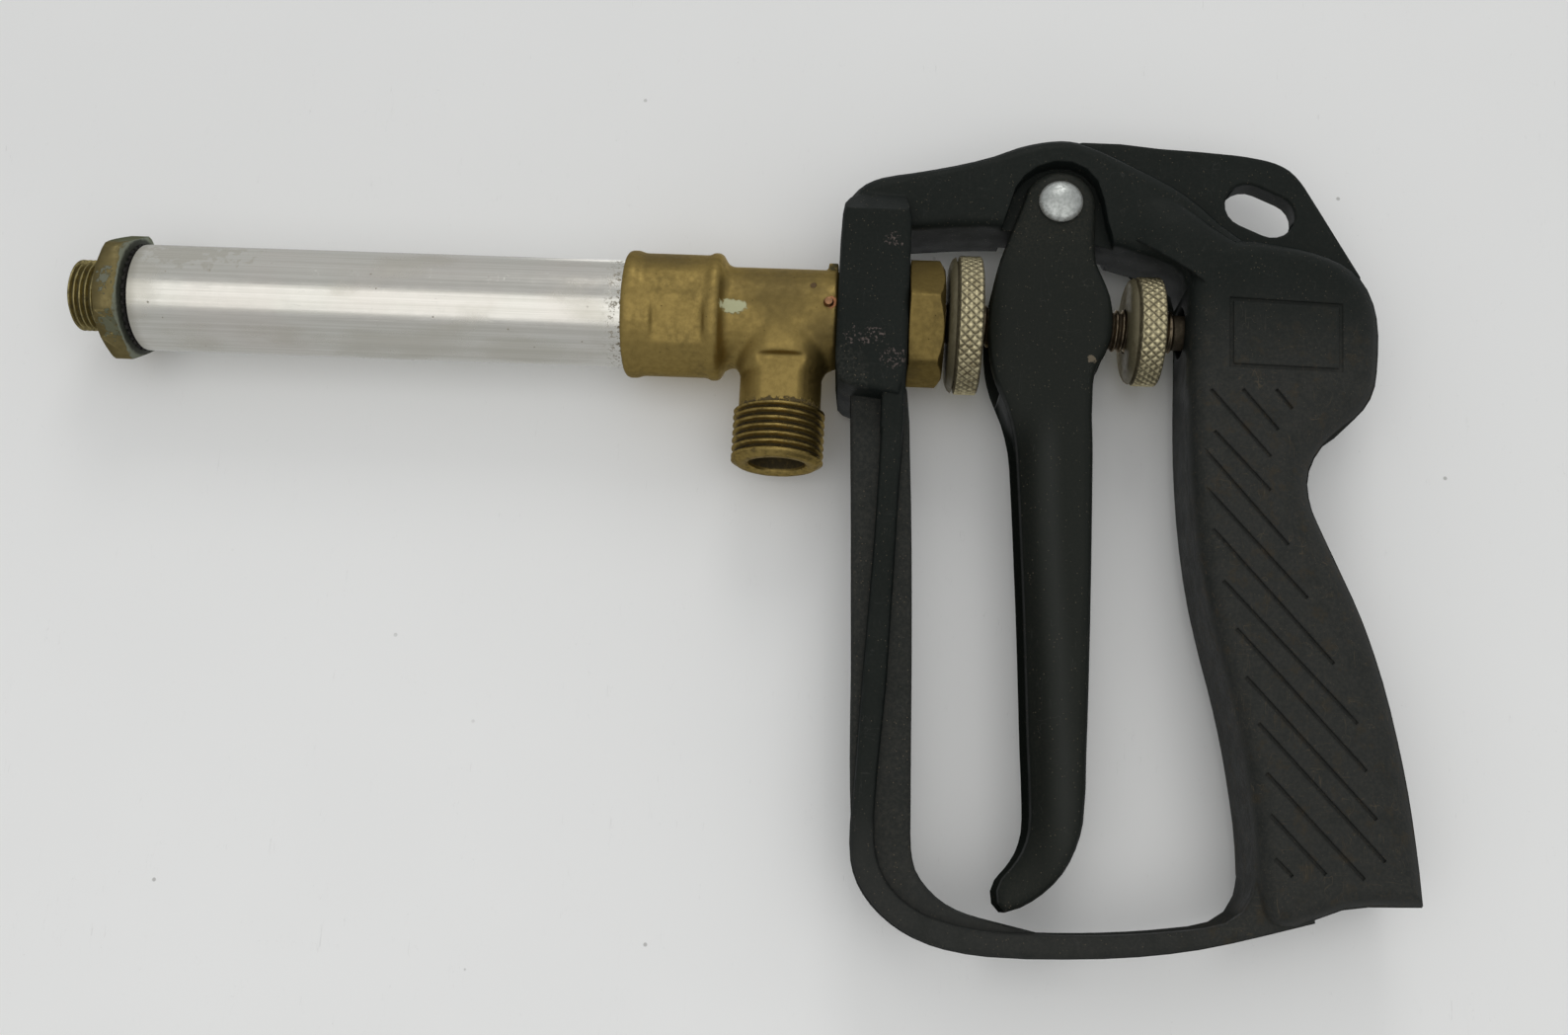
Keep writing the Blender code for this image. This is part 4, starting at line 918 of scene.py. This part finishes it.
def make_camera():
    """Looks at the gun's side from a little below and to its right, with a slight roll."""
    from_centre = Vector((32.8, -345.0, -83.8))
    turn_left, look_up, roll = math.radians(2.64), math.radians(13.62), math.radians(2.93)
    data = bpy.data.cameras.new("camera")
    data.sensor_width = 36.0
    data.lens = 36.27
    data.clip_start, data.clip_end = 0.01, 20.0
    obj = bpy.data.objects.new("camera", data)
    bpy.context.scene.collection.objects.link(obj)
    turn = (
        Matrix.Rotation(turn_left, 4, "Z")
        @ Matrix.Rotation(math.pi / 2 + look_up, 4, "X")
        @ Matrix.Rotation(roll, 4, "Z")
    )
    obj.matrix_world = Matrix.Translation((CAD_LOW + CAD_HIGH) / 2 + from_centre * MM) @ turn
    bpy.context.scene.camera = obj


# ---- everything together ---------------------------------------------------------------------


def smoothing_group(angle):
    """Geometry nodes that join split corners and shade smooth across every edge flatter than the angle."""
    group = bpy.data.node_groups.new("smooth_shading", "GeometryNodeTree")
    group.interface.new_socket("Geometry", in_out="INPUT", socket_type="NodeSocketGeometry")
    group.interface.new_socket("Geometry", in_out="OUTPUT", socket_type="NodeSocketGeometry")

    def add(kind):
        return group.nodes.new(kind)

    entry, leave = add("NodeGroupInput"), add("NodeGroupOutput")
    merge, forget = add("GeometryNodeMergeByDistance"), add("GeometryNodeRemoveAttribute")
    faces, edges = add("GeometryNodeSetShadeSmooth"), add("GeometryNodeSetShadeSmooth")
    bend, gentle = add("GeometryNodeInputMeshEdgeAngle"), add("FunctionNodeCompare")
    merge.inputs["Distance"].default_value = WELD
    forget.inputs["Name"].default_value = "custom_normal"
    faces.domain, edges.domain = "FACE", "EDGE"
    gentle.data_type, gentle.operation = "FLOAT", "LESS_THAN"
    gentle.inputs[1].default_value = angle
    links = group.links
    links.new(entry.outputs[0], forget.inputs[0])
    links.new(forget.outputs[0], merge.inputs[0])
    links.new(merge.outputs[0], faces.inputs[0])
    links.new(faces.outputs[0], edges.inputs[0])
    links.new(bend.outputs["Unsigned Angle"], gentle.inputs[0])
    links.new(gentle.outputs[0], edges.inputs["Shade Smooth"])
    links.new(edges.outputs[0], leave.inputs[0])
    return group


def dress_nodes(looks):
    """Gives every CAD node that still shows smooth shading and the finish of its own slot."""
    smoothing = smoothing_group(NODE_SHARP)
    slots = {part["node"]: part["material_slot"] for part in frame["record"]["subparts"]}
    for name, obj in frame["nodes"].items():
        if obj.hide_render:
            continue
        obj.modifiers.new("smooth", "NODES").node_group = smoothing
        weighted = obj.modifiers.new("weighted", "WEIGHTED_NORMAL")
        weighted.keep_sharp = True
        obj.data.materials.clear()
        obj.data.materials.append(looks.get(name) or looks[slots[name]])


def make_everything():
    brass = (0.325, 0.236, 0.078)
    brown = (0.115, 0.083, 0.028)
    old = (0.215, 0.175, 0.078)
    grease = (0.030, 0.023, 0.013)
    looks = {
        "handle_plastic": handle_finish(),
        "trigger_plastic": trigger_finish(),
        "brass": brass_finish("brass", brass, brown, valve_marks(), valve_tarnish()),
        "packing_nut": brass_finish("nut_brass", tuple(0.62 * c for c in brass), brown, []),
        "locating_pin": turned_metal("pin_copper", (0.36, 0.19, 0.10), (0.10, 0.06, 0.03)),
        "old_brass": brass_finish("old_brass", old, (0.12, 0.11, 0.06), outlet_marks(), (), 0.6, 3.0),
        "brushed_aluminium": lance_finish(),
        "rivet_steel": rivet_finish(),
        "spring_steel": turned_metal("spring_steel", (0.5, 0.5, 0.51), (0.2, 0.19, 0.17)),
        "seal_rubber": soft_finish("seal_rubber", (0.010, 0.010, 0.011), (0.030, 0.028, 0.025), 0.7),
        "packing_white": soft_finish("packing_white", (0.66, 0.64, 0.58), (0.78, 0.77, 0.73), 0.5),
    }
    valve_casting(looks["brass"])
    inlet_thread(turned_metal("inlet_brass", brass, grease, 10.48, (INLET_X, 0.0), "Z", (0.9, 1.3)))
    outlet_hexagon(looks["old_brass"])
    nose = OUTLET_LOW.x
    mouth = (nose + 0.8, nose + 1.1)
    outlet_thread(turned_metal("outlet_brass", (0.34, 0.285, 0.13), grease, 8.33, mouth=mouth))
    toothed_gasket(looks["seal_rubber"])
    rod_crest = box_mm("valve_rod")[1].z - AXIS_Z
    threaded_rod(turned_metal("rod_steel", (0.20, 0.16, 0.11), (0.02, 0.016, 0.01), rod_crest))
    knurled_wheel("lock_wheel", 46, knurl_finish("lock_wheel_plate", "lock_wheel"))
    knurled_wheel("adjuster_wheel", 36, knurl_finish("adjuster_wheel_plate", "adjuster_wheel"))
    return_coil(looks["spring_steel"])
    dress_nodes(looks)
    make_stage()
    make_lights()
    make_world()
    make_camera()


make_everything()
bpy.context.scene.view_settings.view_transform = "Standard"
